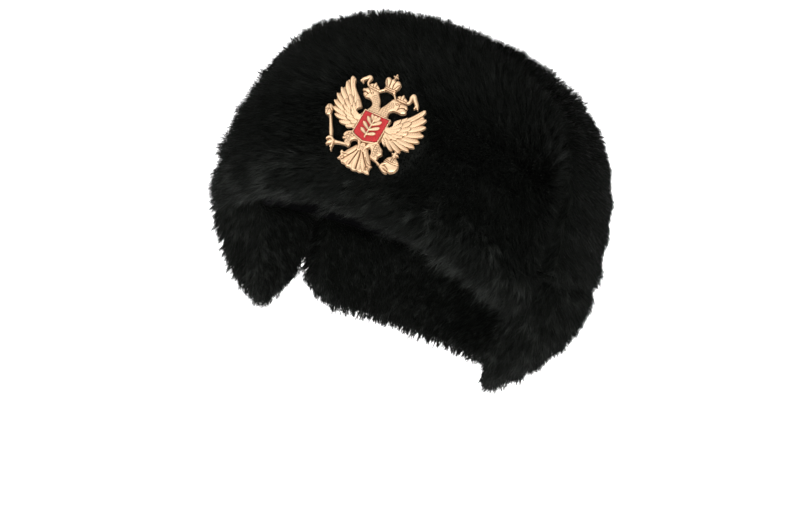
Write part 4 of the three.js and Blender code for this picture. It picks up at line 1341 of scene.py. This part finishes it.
def sweep():
    """Pale floor that curves up into a backdrop behind the hat."""
    half_width = 4.0
    front = -3.0
    bend_start = 2.2
    bend_radius = 1.0
    bend_steps = 12
    height = 3.2
    profile = [(front, FLOOR_Z), (bend_start, FLOOR_Z)]
    for step in range(1, bend_steps + 1):
        angle = step / bend_steps * math.pi / 2
        profile.append((
            bend_start + bend_radius * math.sin(angle),
            FLOOR_Z + bend_radius * (1 - math.cos(angle)),
        ))
    profile.append((bend_start + bend_radius, height))
    form = bmesh.new()
    rows = [[form.verts.new((x, y, z)) for x in (-half_width, half_width)] for y, z in profile]
    for low, high in zip(rows, rows[1:]):
        form.faces.new((low[0], low[1], high[1], high[0]))
    mesh = bpy.data.meshes.new("studio_sweep")
    form.to_mesh(mesh)
    form.free()
    mesh.shade_smooth()
    mesh.transform(Matrix.Rotation(CAMERA_AZIMUTH, 4, "Z"))
    material, _, shader = new_material("pale sweep")
    shader.inputs["Base Color"].default_value = (0.92, 0.92, 0.92, 1)
    shader.inputs["Roughness"].default_value = 0.9
    set_material(mesh, material)
    new_object("studio_sweep", mesh)


def area_light(name, place, aim, size, power):
    light = bpy.data.lights.new(name, "AREA")
    light.shape = "RECTANGLE"
    light.size, light.size_y = size
    light.energy = power
    obj = new_object(name, light)
    obj.location = place
    obj.rotation_euler = (Vector(place) - Vector(aim)).to_track_quat("Z", "Y").to_euler()


def lights():
    """Soft light from all round, most of it from the front and below, and a bright backdrop."""
    hat = (0.0, 0.0, 0.03)
    area_light("key", (-1.1, -1.6, 1.5), hat, (1.0, 1.0), 14)
    area_light("fill", (1.4, -1.1, -0.3), hat, (0.8, 0.5), 4)
    area_light("under", (0.5, -1.2, -0.36), hat, (1.2, 0.5), 20)
    area_light("rim", (0.6, 1.6, 1.3), hat, (1.4, 0.8), 2)
    area_light("backdrop", (-0.4, 0.9, 1.9), (-0.6, 2.9, 0.85), (2.4, 1.2), 260)
    world = bpy.data.worlds.new("studio")
    world.use_nodes = True
    background = world.node_tree.nodes["Background"]
    background.inputs["Color"].default_value = (1.0, 1.0, 1.0, 1)
    background.inputs["Strength"].default_value = 0.48
    bpy.context.scene.world = world
    bpy.context.scene.view_settings.view_transform = "Standard"


# Camera: it stands in front, towards the left side and a little above, and is rolled, because the
# photograph shows the hat leaning to one side
CAMERA_AZIMUTH = math.radians(16)
CAMERA_ELEVATION = math.radians(3)
CAMERA_ROLL = math.radians(19)
CAMERA_DISTANCE = 1.5
CAMERA_LENS = 108
CAMERA_SENSOR = 36
CAMERA_AIM = Vector((-0.0018, 0.0003, -0.0076))


def camera():
    level = math.cos(CAMERA_ELEVATION)
    towards = Vector((
        math.sin(CAMERA_AZIMUTH) * level,
        -math.cos(CAMERA_AZIMUTH) * level,
        math.sin(CAMERA_ELEVATION),
    ))
    data = bpy.data.cameras.new("camera")
    data.lens = CAMERA_LENS
    data.sensor_width = CAMERA_SENSOR
    obj = new_object("camera", data)
    turn = towards.to_track_quat("Z", "Y").to_matrix().to_4x4() @ Matrix.Rotation(CAMERA_ROLL, 4, "Z")
    obj.matrix_world = Matrix.Translation(CAMERA_AIM + towards * CAMERA_DISTANCE) @ turn
    bpy.context.scene.camera = obj


camera()

GRAIN = grain_group()
FUR = fur_material(fibre_tone_and_sheen_group())
GILT = gilt_material(GRAIN)
ENAMEL = enamel_material(GRAIN)
LINING = lining_material()
PILE = pile_tree()

fur_pieces("crown_fur", ("crown_pile", "crown_pile_upper"), crown_pile, {
    "Density": 380000.0, "Seed": 3, "Strand width": 0.00046,
})
fur_pieces("front_flap", ("front_pile", "front_pile_upper"), front_pile, {
    "Density": 900000.0, "Seed": 5,
}, flap_roll)
fur_pieces("ear_flap_left", ("ear_pile_left",), hanging_pile, {"Density": 1400000.0, "Seed": 7})
fur_pieces("ear_flap_right", ("ear_pile_right",), hanging_pile, {"Density": 1400000.0, "Seed": 9})
fur_pieces("neck_flap", ("neck_pile",), hanging_pile, {"Density": 1000000.0, "Seed": 11})
eagle_piece()
charge_piece()
lining_piece()

set_material(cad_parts["badge_shield"].data, ENAMEL)

sweep()
lights()
